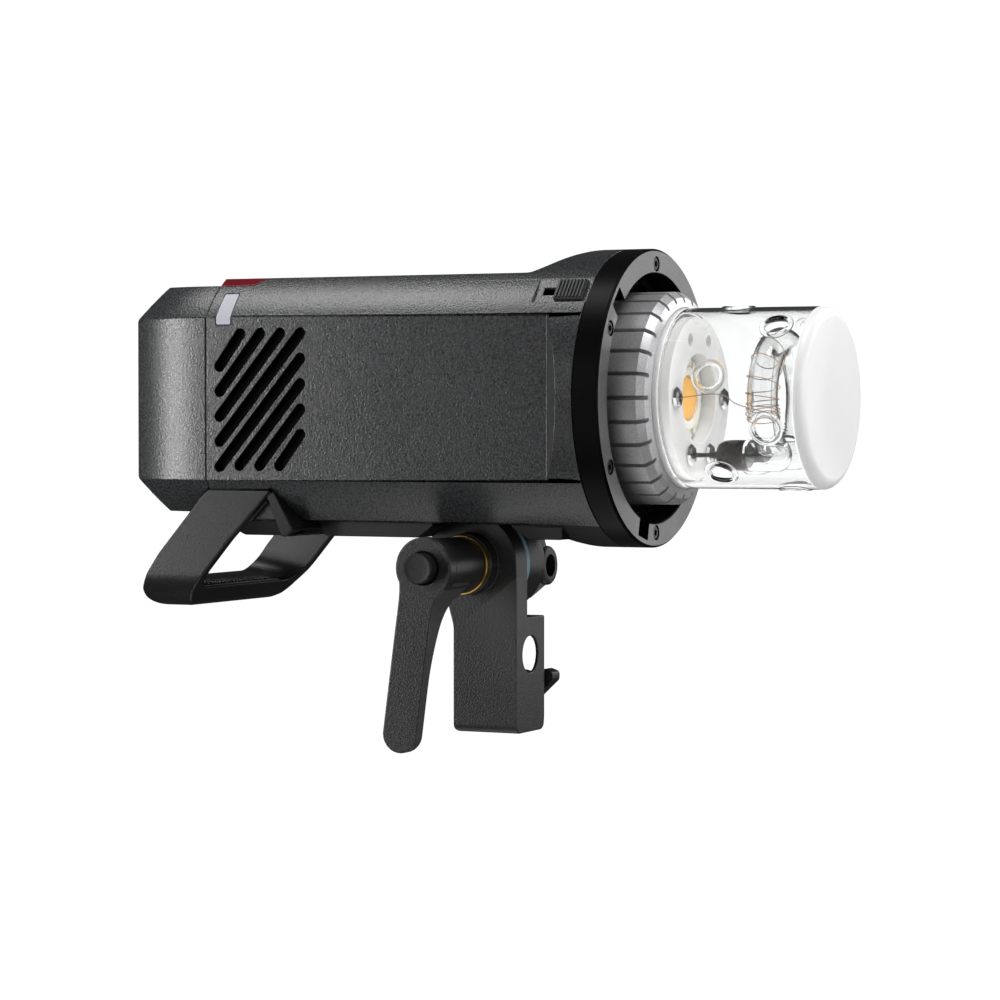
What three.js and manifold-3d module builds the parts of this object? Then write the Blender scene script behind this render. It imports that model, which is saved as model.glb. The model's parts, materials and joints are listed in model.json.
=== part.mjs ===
// Battery monolight strobe: lamp head with a bayonet front, tilting on a stand bracket.
// Millimetres, +Z up. The flash leaves the head along -Y, the control panel faces +Y.
// The origin is the mouth of the stand socket, in the bottom face of the bracket.
import * as THREE from 'three';
import { mergeVertices } from 'three/addons/utils/BufferGeometryUtils.js';
import Module from 'manifold-3d';

const wasm = await Module();
wasm.setup();

// ---------------------------------------------------------------- driving dimensions
// Head dimensions are counted from the centre of the bayonet ring's front face.
const GAP = 0.3; // clearance between neighbouring pieces
const RING_R = 65.5; // bayonet ring and body cylinder
const RING_OPEN_R = 54.75;
const RING_T = 11.6;
const BODY_FLAT = 54.5; // half of the distance across the body's flats
const SEAM_Y = 196.5; // joint between main shell and rear housing
const REAR_Y = 235.7;
const REAR_FLAT = 51.2; // rear housing: top and bottom flats
const WALL = 2.2;
const CAVITY_FLAT = 50.4;
const PANEL_FRONT_Y = 28; // front end of the flat side panels
const RAIL_Z = -61.5; // underside of the bottom rail
const TILT_Y = 83.5; // tilt axis, parallel to X
const TILT_Z = -73.6;
const LOBE_R = 22.6; // round top of the bracket
const BRACKET_BOTTOM_Z = -149;
const BLOCK_FRONT_Y = 60.7;
const BLOCK_REAR_Y = 92;
const BLOCK_X = 15;
const SOCKET_Y = (BLOCK_FRONT_Y + BLOCK_REAR_Y) / 2;
const SPIGOT_R = 8.2; // holes for a 5/8 inch (16 mm) spigot
const LEVER_X = -62; // outer face of the lever
const LEVER_T = 6.2;
const LEVER_LENGTH = 73.3;
const LEVER_ANGLE = 7.45; // degrees that the lever hangs towards the rear
const ARM_SHIFT = 2; // lever arm's offset from the line through its hub
const SINK_R = 46.5;
const SINK_FRONT_Y = -12.6;
const DOME_R = 39.3;
const DOME_FRONT_Y = -82;
const BASE_FACE_Y = -20.5; // front face of the ceramic base
const BAY = { x: 17, y0: 50, y1: 140, z: 35 }; // battery bay, open towards +X
const HANDLE_X = 52; // outer faces of the handle's arms

// ---------------------------------------------------------------- materials
const paint = (color, roughness, metalness = 0) =>
  new THREE.MeshStandardMaterial({ color, roughness, metalness });
const shellPlastic = () => paint(0x3a3b3d, 0.6);
const blackPlastic = () => paint(0x161617, 0.55);
const blackMetal = () => paint(0x1b1b1c, 0.4, 0.6);
const castMetal = () => paint(0x2b2b2d, 0.55, 0.3);
const bareAluminium = () => paint(0xb8b8ba, 0.5, 0.8);
const steel = () => paint(0x8a8b8d, 0.35, 0.9);
const boardGreen = () => paint(0x1f5c36, 0.6);
const clearGlass = () => paint(0xeef3f4, 0.05);

// ---------------------------------------------------------------- geometry helpers
const AXES = {
  // columns: where the local first, second and third directions point
  x: new THREE.Matrix4().makeBasis(
    new THREE.Vector3(0, 1, 0), new THREE.Vector3(0, 0, 1), new THREE.Vector3(1, 0, 0)),
  y: new THREE.Matrix4().makeBasis(
    new THREE.Vector3(1, 0, 0), new THREE.Vector3(0, 0, 1), new THREE.Vector3(0, 1, 0)),
  z: new THREE.Matrix4(),
};

/** A welded copy that holds positions only, with its faces pointing out. */
function weld(geometry) {
  const bare = new THREE.BufferGeometry();
  bare.setAttribute('position', geometry.getAttribute('position').clone());
  if (geometry.index) bare.setIndex(geometry.index.clone());
  const merged = mergeVertices(bare, 1e-4);
  const position = merged.getAttribute('position');
  const index = merged.index.array;
  const corner = [new THREE.Vector3(), new THREE.Vector3(), new THREE.Vector3()];
  const kept = [];
  let volume = 0;
  for (let i = 0; i < index.length; i += 3) {
    const [a, b, c] = [index[i], index[i + 1], index[i + 2]];
    if (a === b || b === c || a === c) continue;
    corner[0].fromBufferAttribute(position, a);
    corner[1].fromBufferAttribute(position, b);
    corner[2].fromBufferAttribute(position, c);
    volume += corner[0].dot(corner[1].clone().cross(corner[2]));
    kept.push(a, b, c);
  }
  if (volume < 0) kept.reverse();
  merged.setIndex(kept);
  return merged;
}

function toSolid(geometry) {
  const welded = weld(geometry);
  return new wasm.Manifold(new wasm.Mesh({
    numProp: 3,
    vertProperties: new Float32Array(welded.getAttribute('position').array),
    triVerts: new Uint32Array(welded.index.array),
  }));
}

function toGeometry(solid) {
  const mesh = solid.getMesh();
  const geometry = new THREE.BufferGeometry();
  geometry.setAttribute('position', new THREE.BufferAttribute(mesh.vertProperties, 3));
  geometry.setIndex(new THREE.BufferAttribute(mesh.triVerts, 1));
  return geometry;
}

const join = (first, ...others) => others.reduce((sum, next) => sum.add(next), first);
const cut = (first, ...others) => others.reduce((rest, next) => rest.subtract(next), first);

/** Straight prism along an axis; points are (y,z), (x,z) or (x,y) for axis x, y or z. */
function prism(axis, points, from, to) {
  const shape = points instanceof THREE.Shape
    ? points : new THREE.Shape(points.map(([u, v]) => new THREE.Vector2(u, v)));
  const geometry = new THREE.ExtrudeGeometry(shape, {
    depth: to - from, bevelEnabled: false, curveSegments: 5,
  });
  geometry.translate(0, 0, from);
  geometry.applyMatrix4(AXES[axis]);
  return toSolid(geometry);
}

/** Solid of revolution; profile holds (radius, position along the axis), at holds its centre. */
function turned(axis, profile, segments = 24, at = [0, 0]) {
  const points = profile.map(([radius, along]) => new THREE.Vector2(radius, along));
  const geometry = new THREE.LatheGeometry(points, segments);
  geometry.rotateX(Math.PI / 2);
  geometry.translate(at[0], at[1], 0);
  geometry.applyMatrix4(AXES[axis]);
  return toSolid(geometry);
}

const rod = (axis, radius, from, to, segments = 24, at = [0, 0]) =>
  turned(axis, [[0, from], [radius, from], [radius, to], [0, to]], segments, at);

const pipe = (axis, inner, outer, from, to, segments = 24, at = [0, 0]) =>
  turned(axis, [[inner, from], [outer, from], [outer, to], [inner, to], [inner, from]],
    segments, at);

function box(x0, x1, y0, y1, z0, z1) {
  const geometry = new THREE.BoxGeometry(x1 - x0, y1 - y0, z1 - z0);
  geometry.translate((x0 + x1) / 2, (y0 + y1) / 2, (z0 + z1) / 2);
  return toSolid(geometry);
}

/** Points on an arc, angles in degrees. */
function arc(u, v, radius, start, end, steps) {
  return Array.from({ length: steps + 1 }, (_, i) => {
    const angle = THREE.MathUtils.degToRad(start + ((end - start) * i) / steps);
    return [u + radius * Math.cos(angle), v + radius * Math.sin(angle)];
  });
}

/** Outline of a straight slot with round ends between two points. */
function slot([u0, v0], [u1, v1], width, steps = 4) {
  const heading = THREE.MathUtils.radToDeg(Math.atan2(v1 - v0, u1 - u0));
  return [
    ...arc(u1, v1, width / 2, heading - 90, heading + 90, steps),
    ...arc(u0, v0, width / 2, heading + 90, heading + 270, steps),
  ];
}

/** Body section in (x, z): a circle with four flats, grown or shrunk by offset. */
function bodySection(offset, flatZ = BODY_FLAT + offset, inset = 0) {
  const radius = RING_R + offset;
  const flatX = BODY_FLAT + offset;
  const start = THREE.MathUtils.radToDeg(Math.acos(flatX / radius));
  const end = THREE.MathUtils.radToDeg(Math.asin(flatZ / radius));
  const cornerZ = Math.sqrt(radius ** 2 - flatX ** 2);
  const quarter = arc(0, 0, radius, start, end, 5).map(([x, z]) => {
    const lean = 1 + (0.8 * (z - cornerZ)) / (flatZ - cornerZ);
    return [x - inset * lean, z];
  });
  const mirrored = quarter.map(([x, z]) => [-x, z]).reverse();
  const upper = [...quarter, ...mirrored];
  return [...upper, ...upper.map(([x, z]) => [-x, -z])];
}

/** Skin through sections that hold the same number of (x, z) points, each at its own y. */
function loft(sections) {
  const count = sections[0].points.length;
  const vertices = [];
  const triangles = [];
  for (const { points, y } of sections) for (const [x, z] of points) vertices.push(x, y, z);
  for (let s = 0; s < sections.length - 1; s += 1) {
    for (let i = 0; i < count; i += 1) {
      const [a, b] = [s * count + i, s * count + ((i + 1) % count)];
      triangles.push(a, b, b + count, a, b + count, a + count);
    }
  }
  const flat = sections[0].points.map(([x, z]) => new THREE.Vector2(x, z));
  for (const [a, b, c] of THREE.ShapeUtils.triangulateShape(flat, [])) {
    const last = (sections.length - 1) * count;
    triangles.push(a, c, b, last + a, last + b, last + c);
  }
  const geometry = new THREE.BufferGeometry();
  geometry.setAttribute('position', new THREE.Float32BufferAttribute(vertices, 3));
  geometry.setIndex(triangles);
  return toSolid(geometry);
}

/** A bar of constant section swept along a smooth path. */
function sweep(points, radius, sides, steps) {
  const path = new THREE.CatmullRomCurve3(points.map((p) => new THREE.Vector3(...p)));
  const section = new THREE.Shape(arc(0, 0, radius, 0, 360 - 360 / sides, sides - 1)
    .map(([u, v]) => new THREE.Vector2(u, v)));
  const geometry = new THREE.ExtrudeGeometry(section, { steps, extrudePath: path });
  return toSolid(geometry);
}

const model = new THREE.Group();
const assembly = new THREE.Group(); // everything, counted from the ring's front face
assembly.position.set(0, -SOCKET_Y, -BRACKET_BOTTOM_Z);
model.add(assembly);

function add(name, solid, material, place = {}) {
  const mesh = new THREE.Mesh(toGeometry(solid), material);
  mesh.name = name;
  mesh.position.set(...(place.position ?? [0, 0, 0]));
  mesh.rotation.set(...(place.rotation ?? [0, 0, 0]));
  (place.parent ?? assembly).add(mesh);
}

// ---------------------------------------------------------------- bracket and tilt clamp
const TILT = [TILT_Y, TILT_Z];
const PLATE_INNER_X = -3.2; // inner face of the bracket's upright plate
const LUG_X = [0.6, 13]; // the head's tilt lug
const HUB_R = 12.5;
const BOLT_R = 4;
const BUTTON_R = 6.8;
const BOSS_R = 13.8; // boss on the plate that carries the brass ring
const BOSS_X = -22.2;
const BRASS_X = [-25.3, BOSS_X - GAP];
const CROSS_HOLE_Z = -114.2;
const SOCKET_DEPTH = 24;
const KNOB_Z = -131;
const UMBRELLA = [33.3, -76]; // (x, z) of the umbrella shaft's hole
const TUBE_Y_ENDS = [66, 101];
const UMBRELLA_TUBE_R = 9;

/** Outline of the block in (x, z), its lower corners rounded. */
const BLOCK_CORNER = 3.5;
const BLOCK_OUTLINE = [
  [BLOCK_X, 0],
  [-BLOCK_X, 0],
  ...arc(-BLOCK_X + BLOCK_CORNER, BRACKET_BOTTOM_Z + BLOCK_CORNER, BLOCK_CORNER, 180, 270, 3),
  ...arc(BLOCK_X - BLOCK_CORNER, BRACKET_BOTTOM_Z + BLOCK_CORNER, BLOCK_CORNER, 270, 360, 3),
];

/** Stand bracket: hollow block with two spigot holes, upright plate with a round lobe. */
function bracket() {
  const profile = [
    ...arc(...TILT, LOBE_R, -16, 180, 13),
    [BLOCK_FRONT_Y, TILT_Z - 5],
    [BLOCK_FRONT_Y, BRACKET_BOTTOM_Z + 0.8],
    [BLOCK_FRONT_Y + 0.8, BRACKET_BOTTOM_Z],
    [BLOCK_REAR_Y - 2.5, BRACKET_BOTTOM_Z],
    [BLOCK_REAR_Y, BRACKET_BOTTOM_Z + 2.5],
    [BLOCK_REAR_Y, TILT_Z - 30],
    [BLOCK_REAR_Y + 1.2, TILT_Z - 22],
    [BLOCK_REAR_Y + 5.5, TILT_Z - 16.5],
  ];
  const blank = prism('x', profile, -BLOCK_X, BLOCK_X)
    .intersect(prism('y', BLOCK_OUTLINE, BLOCK_FRONT_Y - 1, 2 * TILT_Y));
  const boss = rod('x', BOSS_R, BOSS_X, -BLOCK_X + 1, 24, TILT);
  const step = box(PLATE_INNER_X, BLOCK_X + 1, 40, 120, -97.5, -40);
  const pocket = box(-9, BLOCK_X + 1, BLOCK_FRONT_Y + 1.5, BLOCK_REAR_Y - 3.5, -123.5, -104.5);
  return cut(join(blank, boss), step, pocket,
    rod('x', BOLT_R + GAP, BOSS_X - 1, 0, 12, TILT),
    rod('y', SPIGOT_R, BLOCK_FRONT_Y - 1, BLOCK_REAR_Y + 1, 20, [0, CROSS_HOLE_Z]),
    rod('z', SPIGOT_R, BRACKET_BOTTOM_Z - 1, BRACKET_BOTTOM_Z + SOCKET_DEPTH, 20, [0, SOCKET_Y]),
    rod('x', 3.4, 4, BLOCK_X + 1, 10, [SOCKET_Y, KNOB_Z]));
}

/** Clamp lever in its own frame: origin on the tilt axis, arm down along -Z. */
function leverArm() {
  const face = [
    ...arc(0, 0, 13.5, -38, 218, 12),
    [ARM_SHIFT - 8.2, -22],
    ...arc(ARM_SHIFT, -LEVER_LENGTH, 8.4, -174, -6, 6),
    [ARM_SHIFT + 8.2, -22],
  ];
  const arm = prism('x', face, LEVER_X, LEVER_X + LEVER_T);
  const web = prism('y', [
    [LEVER_X + 1, -3], [-38, -3], [-38, -11], [-46, -16], [-52, -25], [-54.5, -38],
    [LEVER_X + LEVER_T, -52], [LEVER_X + 1, -52],
  ], ARM_SHIFT - 6.5, ARM_SHIFT + 6.5);
  const hub = rod('x', HUB_R, LEVER_X + 1, BRASS_X[0] - GAP, 20);
  return cut(join(arm, web, hub),
    rod('x', BUTTON_R + GAP, LEVER_X - 1, LEVER_X + 12, 16),
    rod('x', BOLT_R + GAP, LEVER_X + 11, 0, 12));
}

/** Winged stand-lock knob in its own frame, screw along X towards the socket. */
function wingKnob() {
  const wings = [
    ...arc(-14.6, 5.2, 3.4, 90, 225, 4), [-6.5, -7], [6.5, -7],
    ...arc(14.6, 5.2, 3.4, -45, 90, 4), [6, 6.5], [-6, 6.5],
  ];
  return join(prism('x', wings, BLOCK_X + 4, BLOCK_X + 12),
    rod('x', 7.5, BLOCK_X + GAP, BLOCK_X + 14, 14),
    rod('x', 3, SPIGOT_R + GAP, BLOCK_X + 1, 8));
}

/** Tilt lug under the head: clamped disc, foot plate and umbrella tube. */
function tiltLug() {
  const [front, rear] = TUBE_Y_ENDS;
  const tube = turned('y', [
    [0, front], [UMBRELLA_TUBE_R - 1.2, front], [UMBRELLA_TUBE_R, front + 1.4],
    [UMBRELLA_TUBE_R, rear], [0, rear],
  ], 20, UMBRELLA);
  const [tubeX, tubeZ] = UMBRELLA;
  const web = prism('y', [
    [BLOCK_X + 1, -57], [27, -57], [tubeX, tubeZ + UMBRELLA_TUBE_R - 0.4],
    [tubeX, tubeZ - UMBRELLA_TUBE_R + 0.4], [BLOCK_X + 1, -90],
  ], front + 2, rear);
  const disc = rod('x', LOBE_R - 0.6, LUG_X[0], BLOCK_X + 2, 24, TILT);
  const foot = box(LUG_X[0], BLOCK_X + 2, front + 2, rear, -70, -50);
  return cut(join(disc, foot, web, tube),
    box(-20, 60, 40, 120, -BODY_FLAT - GAP, 0),
    rod('x', BOLT_R + GAP, -1, 24, 12, TILT),
    rod('x', 8.2, 20, 26, 12, TILT),
    rod('y', 5.2, 60, 110, 12, UMBRELLA),
    rod('x', 2.6, 34, 60, 8, [TILT_Y, tubeZ]));
}

function tiltBolt() {
  return join(rod('x', BOLT_R, LEVER_X + 18, 21, 12, TILT), rod('x', 7, 20.3, 25.5, 6, TILT));
}

function umbrellaScrew() {
  const start = UMBRELLA[0] + UMBRELLA_TUBE_R + GAP;
  return join(rod('x', 2.3, UMBRELLA[0] + 5.6, start + 1, 8), rod('x', 6.5, start, start + 9, 14));
}

add('stand_bracket', bracket(), castMetal());
add('brass_ring', pipe('x', 5.2, 13.2, ...BRASS_X, 24, TILT), paint(0xb98a2c, 0.35, 0.9));
add('friction_washer', pipe('x', 4.6, LOBE_R - 0.2, PLATE_INNER_X + GAP, LUG_X[0] - GAP, 24, TILT),
  paint(0x7fa9bd, 0.5));
add('tilt_bolt', tiltBolt(), steel());
add('stand_lock_knob', wingKnob(), blackPlastic(), { position: [0, SOCKET_Y, KNOB_Z] });

const lever = new THREE.Group();
lever.position.set(0, TILT_Y, TILT_Z);
lever.rotation.x = THREE.MathUtils.degToRad(LEVER_ANGLE);
assembly.add(lever);
add('tilt_lever', leverArm(), castMetal(), { parent: lever });
add('lever_button', rod('x', BUTTON_R, LEVER_X - 5.6, LEVER_X + 6, 16), blackPlastic(), { parent: lever });

// ---------------------------------------------------------------- main shell
const SKIN = RING_R + 10; // reach of cutting tools beyond the body
const VENT_W = 5;
const VENT_PITCH = [10.2, 11.25];
const VENT_TOP = [[178.6, 29], [148.1, 29]]; // upper ends: four along the top, the rest down the front
const VENT_BOTTOM = [[189.2, 14.7], [189.2, -29.7]];

/** The eight slanted cooling slots, as slot end points in (y, z). */
function ventEnds() {
  const along = (i) => [VENT_TOP[0][0] - i * VENT_PITCH[0], VENT_TOP[0][1]];
  const down = (i) => [VENT_TOP[1][0], VENT_TOP[1][1] - i * VENT_PITCH[1]];
  const rear = (i) => [VENT_BOTTOM[0][0], VENT_BOTTOM[0][1] - i * VENT_PITCH[1]];
  const under = (i) => [VENT_BOTTOM[1][0] - i * VENT_PITCH[0], VENT_BOTTOM[1][1]];
  return Array.from({ length: 8 }, (_, i) => [
    i < 3 ? along(i) : down(i - 3),
    i < 5 ? rear(i) : under(i - 4),
  ]);
}

/** Sensor window outline in (x, y): a strip across the top, narrower towards the front. */
const windowOutline = (grow) => [
  [-41 - grow, SEAM_Y], [-40.6 - grow, 179 - grow], [-33 - grow, 171 - grow],
  [33 + grow, 171 - grow], [40.6 + grow, 179 - grow], [41 + grow, SEAM_Y],
];

/** Group indicator outline in (y, z): a bar from the side flat up the rounded corner. */
const indicatorOutline = (grow) => [
  [183.6 - grow, 33.3 - grow], [190.9 + grow, 33.3 - grow],
  [191.1 + grow, 47.2 + grow], [184.1 - grow, 47.2 + grow],
];

const skin = (outer, inner, y0, y1) =>
  cut(prism('y', bodySection(outer), y0, y1), prism('y', bodySection(inner), y0 - 1, y1 + 1));

/** Tool that levels the upper-left corner beside the ring for the mount lock. */
const LOCK_LOW = [-49.9, 40.4];
const LOCK_HIGH = [-40.6, 51.4];
const LOCK_SLOT_Y = [21.5, 33.7];

function lockFacet() {
  return prism('y', [LOCK_LOW, LOCK_HIGH, [-44, 56], [-53.2, 43.1]], 10, 37);
}

/** A point on the lock facet's plane, shifted along the facet and out of it. */
function onFacet(along, out) {
  const dx = LOCK_HIGH[0] - LOCK_LOW[0];
  const dz = LOCK_HIGH[1] - LOCK_LOW[1];
  const length = Math.hypot(dx, dz);
  return [
    LOCK_LOW[0] + (dx * along - dz * out) / length,
    LOCK_LOW[1] + (dz * along + dx * out) / length,
  ];
}

function mainShell() {
  const front = RING_T + GAP;
  const barrel = rod('y', RING_R, front, SEAM_Y - GAP, 72);
  const side = [
    [BODY_FLAT, SKIN * 3], [BODY_FLAT, PANEL_FRONT_Y], [RING_R, 19.6],
    [RING_R + 4, 16.5], [SKIN, 16.5], [SKIN, SKIN * 3],
  ];
  const top = [
    [SKIN * 3, BODY_FLAT], [44, BODY_FLAT], [39, 57.5], [34, 61], [29.5, 63.5], [20, 66.2],
    [20, SKIN], [SKIN * 3, SKIN],
  ];
  const flip = (points) => points.map(([u, v]) => [-u, v]);
  const under = top.map(([y, z]) => [y, -z]);
  const rails = prism('x', [
    [PANEL_FRONT_Y + 2, -50], [PANEL_FRONT_Y + 2, RAIL_Z], [46.5, RAIL_Z], [54.7, -56],
    [54.7, -50],
  ], -34, 34);
  const rearRail = prism('x', [
    [92.6, -50], [92.6, -56], [100, RAIL_Z], [147, RAIL_Z], [152, -50],
  ], -34, 34);
  const cavity = prism('y', bodySection(-WALL, CAVITY_FLAT), front + 6, SEAM_Y + 2);
  const bayWalls = box(BAY.x - 1.8, BODY_FLAT - 1, BAY.y0 - 1.8, BAY.y1 + 1.8, -BAY.z - 1.8, BAY.z + 1.8);
  const pocket = rod('x', LOBE_R + 3.6, -20, 44, 32, TILT);
  const hollow = cut(cavity, bayWalls, pocket);
  const outside = join(cut(barrel,
    prism('z', flip(side), -SKIN, SKIN), prism('z', side, -SKIN, SKIN),
    prism('x', top, -SKIN, SKIN), prism('x', under, -SKIN, SKIN)), rails, rearRail);
  const screwHoles = RING_SCREWS.map(([x, z]) => rod('y', 1.9, front - 1, 16.5, 8, [x, z]));
  const vents = ventEnds().map(([upper, lower]) =>
    prism('x', slot(upper, lower, VENT_W, 3), -SKIN, SKIN));
  return cut(outside, hollow,
    rod('y', 56, 0, front + 6.2, 48),
    box(BAY.x, SKIN, BAY.y0, BAY.y1, -BAY.z, BAY.z),
    rod('x', LOBE_R + 1.4, -19, 42, 32, TILT),
    box(-19, 45.5, 62, 105, -70, -55 + GAP),
    prism('z', windowOutline(GAP), BODY_FLAT - 6, SKIN),
    cut(prism('x', indicatorOutline(GAP), -SKIN, SKIN), rod('y', 55, 150, 200, 24)),
    lockFacet(),
    prism('y', [onFacet(5, -6), onFacet(9, -6), onFacet(9, 4), onFacet(5, 4)], ...LOCK_SLOT_Y),
    ...screwHoles, ...vents);
}

const RING_SCREWS = [30, 90, 150, 210, 270, 330].map((angle) => arc(0, 0, 58.9, angle, angle, 1)[0]);

/** Bayonet ring with three notches and six countersinks. */
function bayonetRing() {
  const ring = turned('y', [
    [RING_OPEN_R, 0], [RING_R - 0.8, 0], [RING_R, 0.8], [RING_R, RING_T], [RING_OPEN_R, RING_T],
    [RING_OPEN_R, 0],
  ], 72);
  const notches = [16, 136, 256].map((angle) => {
    const turn = THREE.MathUtils.degToRad(angle);
    const corner = (r, w) => [
      r * Math.cos(turn) - w * Math.sin(turn), r * Math.sin(turn) + w * Math.cos(turn)];
    const half = 5.5;
    return prism('y', [corner(50, -half), corner(62.6, -half), corner(62.6, half), corner(50, half)],
      -1, RING_T + 1);
  });
  const holes = RING_SCREWS.map((centre) => turned('y', [
    [0, -1], [3.4, -1], [3.4, 0.9], [1.9, 2.9], [1.9, RING_T + 1], [0, RING_T + 1],
  ], 10, centre));
  return cut(ring, ...notches, ...holes);
}

/** Countersunk ring screw in its own frame, head at y 0, shank along +Y. */
function ringScrew() {
  const body = turned('y', [[0, 0.3], [3, 0.3], [3, 1], [1.5, 3], [1.5, 16], [0, 16]], 10);
  return cut(body, rod('y', 1.3, -1, 1.3, 6));
}

/** Keeps the part of the body's skin that an outline covers. */
function skinPiece(tool, y0, y1, thickness = WALL) {
  return skin(0, -thickness, y0, y1).intersect(tool);
}

function lockSlider() {
  const plate = prism('y', [onFacet(1.4, GAP), onFacet(13, GAP), onFacet(12.4, 1.6), onFacet(2, 1.6)],
    14, 27.4);
  const ribs = Array.from({ length: 8 }, (_, i) => {
    const y = 14.5 + i * 1.62;
    return prism('y', [onFacet(2.4, 1.2), onFacet(12, 1.2), onFacet(12, 2.3), onFacet(2.4, 2.3)],
      y, y + 0.9);
  });
  const stem = prism('y', [onFacet(5.4, -5), onFacet(8.6, -5), onFacet(8.6, 1), onFacet(5.4, 1)],
    22, 27);
  return join(plate, ...ribs, stem);
}

add('main_shell', mainShell(), shellPlastic());
add('bayonet_ring', bayonetRing(), blackMetal());
RING_SCREWS.forEach(([x, z], i) => {
  add(`ring_screw_${i + 1}`, ringScrew(), blackMetal(), { position: [x, 0, z] });
});
add('lock_slider', lockSlider(), blackPlastic());
add('sensor_window', skinPiece(prism('z', windowOutline(0), BODY_FLAT - 5, SKIN), 170, SEAM_Y - GAP),
  paint(0x8c1420, 0.2));
for (const [side, from, to] of [['right', -SKIN, -40], ['left', 40, SKIN]]) {
  add(`group_indicator_${side}`, skinPiece(prism('x', indicatorOutline(0), from, to), 178, 194),
    paint(0xd8d8dd, 0.35));
}
add('tilt_lug', tiltLug(), castMetal());
add('umbrella_screw', umbrellaScrew(), blackPlastic(), { position: [0, TILT_Y, UMBRELLA[1]] });

// ---------------------------------------------------------------- flash head and modelling lamp
const BASE_R = 35.5;
const SINK_GROOVES = 28;
const TUBE_RING_R = 24;
const TUBE_R = 6.5;
const TUBE_Y = -58.5;
const ELECTRODE_X = 11;
const ELECTRODE_Z = -24.5;
const SOCKETS = [[-27.5, 0], [27.5, 0], [-ELECTRODE_X, ELECTRODE_Z], [ELECTRODE_X, ELECTRODE_Z]];

/** Finned heat sink with a chamfered nose. */
function heatSink() {
  const body = turned('y', [
    [0, SINK_FRONT_Y], [39.8, SINK_FRONT_Y], [39.8, SINK_FRONT_Y - 1.4], [43.9, SINK_FRONT_Y],
    [SINK_R, SINK_FRONT_Y + 3.1], [SINK_R, 17.9], [0, 17.9],
  ], 56);
  const grooves = Array.from({ length: SINK_GROOVES }, (_, i) => {
    const groove = box(-0.95, 0.95, SINK_FRONT_Y - 2, 12, 41.6, SINK_R + 2);
    return groove.rotate([0, ((i + 7) * 360) / SINK_GROOVES, 0]);
  });
  return cut(body, ...grooves);
}

function ceramicBase() {
  const holes = SOCKETS.map((centre) => rod('y', 3, BASE_FACE_Y - 1, -10, 8, centre));
  const recesses = [-10.5, 10.5].map((x) =>
    rod('y', 3, BASE_FACE_Y - 1, BASE_FACE_Y + 3, 10, [x, 25]));
  return cut(pipe('y', 19.5, BASE_R, BASE_FACE_Y, SINK_FRONT_Y - GAP, 40), ...holes, ...recesses);
}

/** Contact socket in its own frame: flange in front of the base, barrel in its hole. */
function contactSocket() {
  return turned('y', [[1.4, -1.7], [3.4, -1.7], [4.9, -0.3], [2.6, -0.3], [2.6, 6], [1.4, 6],
    [1.4, -1.7]], 10);
}

/** Quartz flash tube: two straight electrode bulbs joined by a ring. */
function flashTube() {
  const angle = THREE.MathUtils.degToRad(-115);
  const ring = Array.from({ length: 15 }, (_, i) => {
    const turn = angle - (i / 14) * THREE.MathUtils.degToRad(310);
    return [TUBE_RING_R * Math.cos(turn), TUBE_Y, TUBE_RING_R * Math.sin(turn)];
  });
  const bulb = (x) => turned('y', [[0, -66.5], [4.6, -65.6], [6.8, -62.5], [6.8, -47], [0, -47]], 12,
    [x, ELECTRODE_Z]);
  return join(sweep(ring, TUBE_R, 10, 34), bulb(-ELECTRODE_X), bulb(ELECTRODE_X));
}

/** Electrode in its own frame: dark sleeve with a contact pin towards the base. */
function electrode() {
  return join(rod('y', 6.6, -46.7, -33.5, 12),
    turned('y', [[0, -34], [2.4, -34], [1.2, -31], [1, -20.9], [0, -20.9]], 8));
}

/** Trigger wire from the right-hand socket to the tube, then once round it. */
function triggerWire() {
  const wireR = 0.45;
  const reach = TUBE_R + GAP + wireR;
  const turns = Array.from({ length: 15 }, (_, i) => {
    const angle = THREE.MathUtils.degToRad(100 - i * 23);
    return [
      -TUBE_RING_R + Math.cos(angle) * reach, TUBE_Y + Math.sin(angle) * reach, i * 0.25 - 1.5,
    ];
  });
  const lead = [[-27.5, -20.9, 0], [-28, -30, 1.5], [-27, -42, 0]];
  return sweep([...lead, ...turns], wireR, 6, 44);
}

function glassDome() {
  const base = SINK_FRONT_Y - GAP;
  return turned('y', [
    [0, DOME_FRONT_Y], [35, DOME_FRONT_Y], [38, DOME_FRONT_Y + 1.4], [DOME_R, DOME_FRONT_Y + 4.4],
    [DOME_R, base], [DOME_R - 2.2, base], [DOME_R - 2.2, DOME_FRONT_Y + 4.6],
    [34.8, DOME_FRONT_Y + 2.5], [0, DOME_FRONT_Y + 2.5],
  ], 40);
}

add('front_bulkhead', prism('y', bodySection(-WALL - GAP, CAVITY_FLAT - GAP), 18.3, 20.8), blackMetal());
add('heat_sink', heatSink(), bareAluminium());
add('ceramic_base', ceramicBase(), paint(0xefefec, 0.5));
add('led_board', rod('y', 18.8, -14, SINK_FRONT_Y - GAP, 24), paint(0xe9e2d2, 0.5));
add('led_emitter', rod('y', 9.5, -15.4, -14 - GAP, 20), paint(0xf0bb58, 0.4));
SOCKETS.forEach(([x, z], i) => {
  add(`contact_socket_${i + 1}`, contactSocket(), steel(), { position: [x, BASE_FACE_Y, z] });
});
add('flash_tube', flashTube(), clearGlass());
for (const [side, x] of [['right', -ELECTRODE_X], ['left', ELECTRODE_X]]) {
  add(`electrode_${side}`, electrode(), paint(0x2a2019, 0.3), { position: [x, 0, ELECTRODE_Z] });
}
add('trigger_wire', triggerWire(), paint(0x7a5a3a, 0.4, 0.6));
add('glass_dome', glassDome(), clearGlass());

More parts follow.
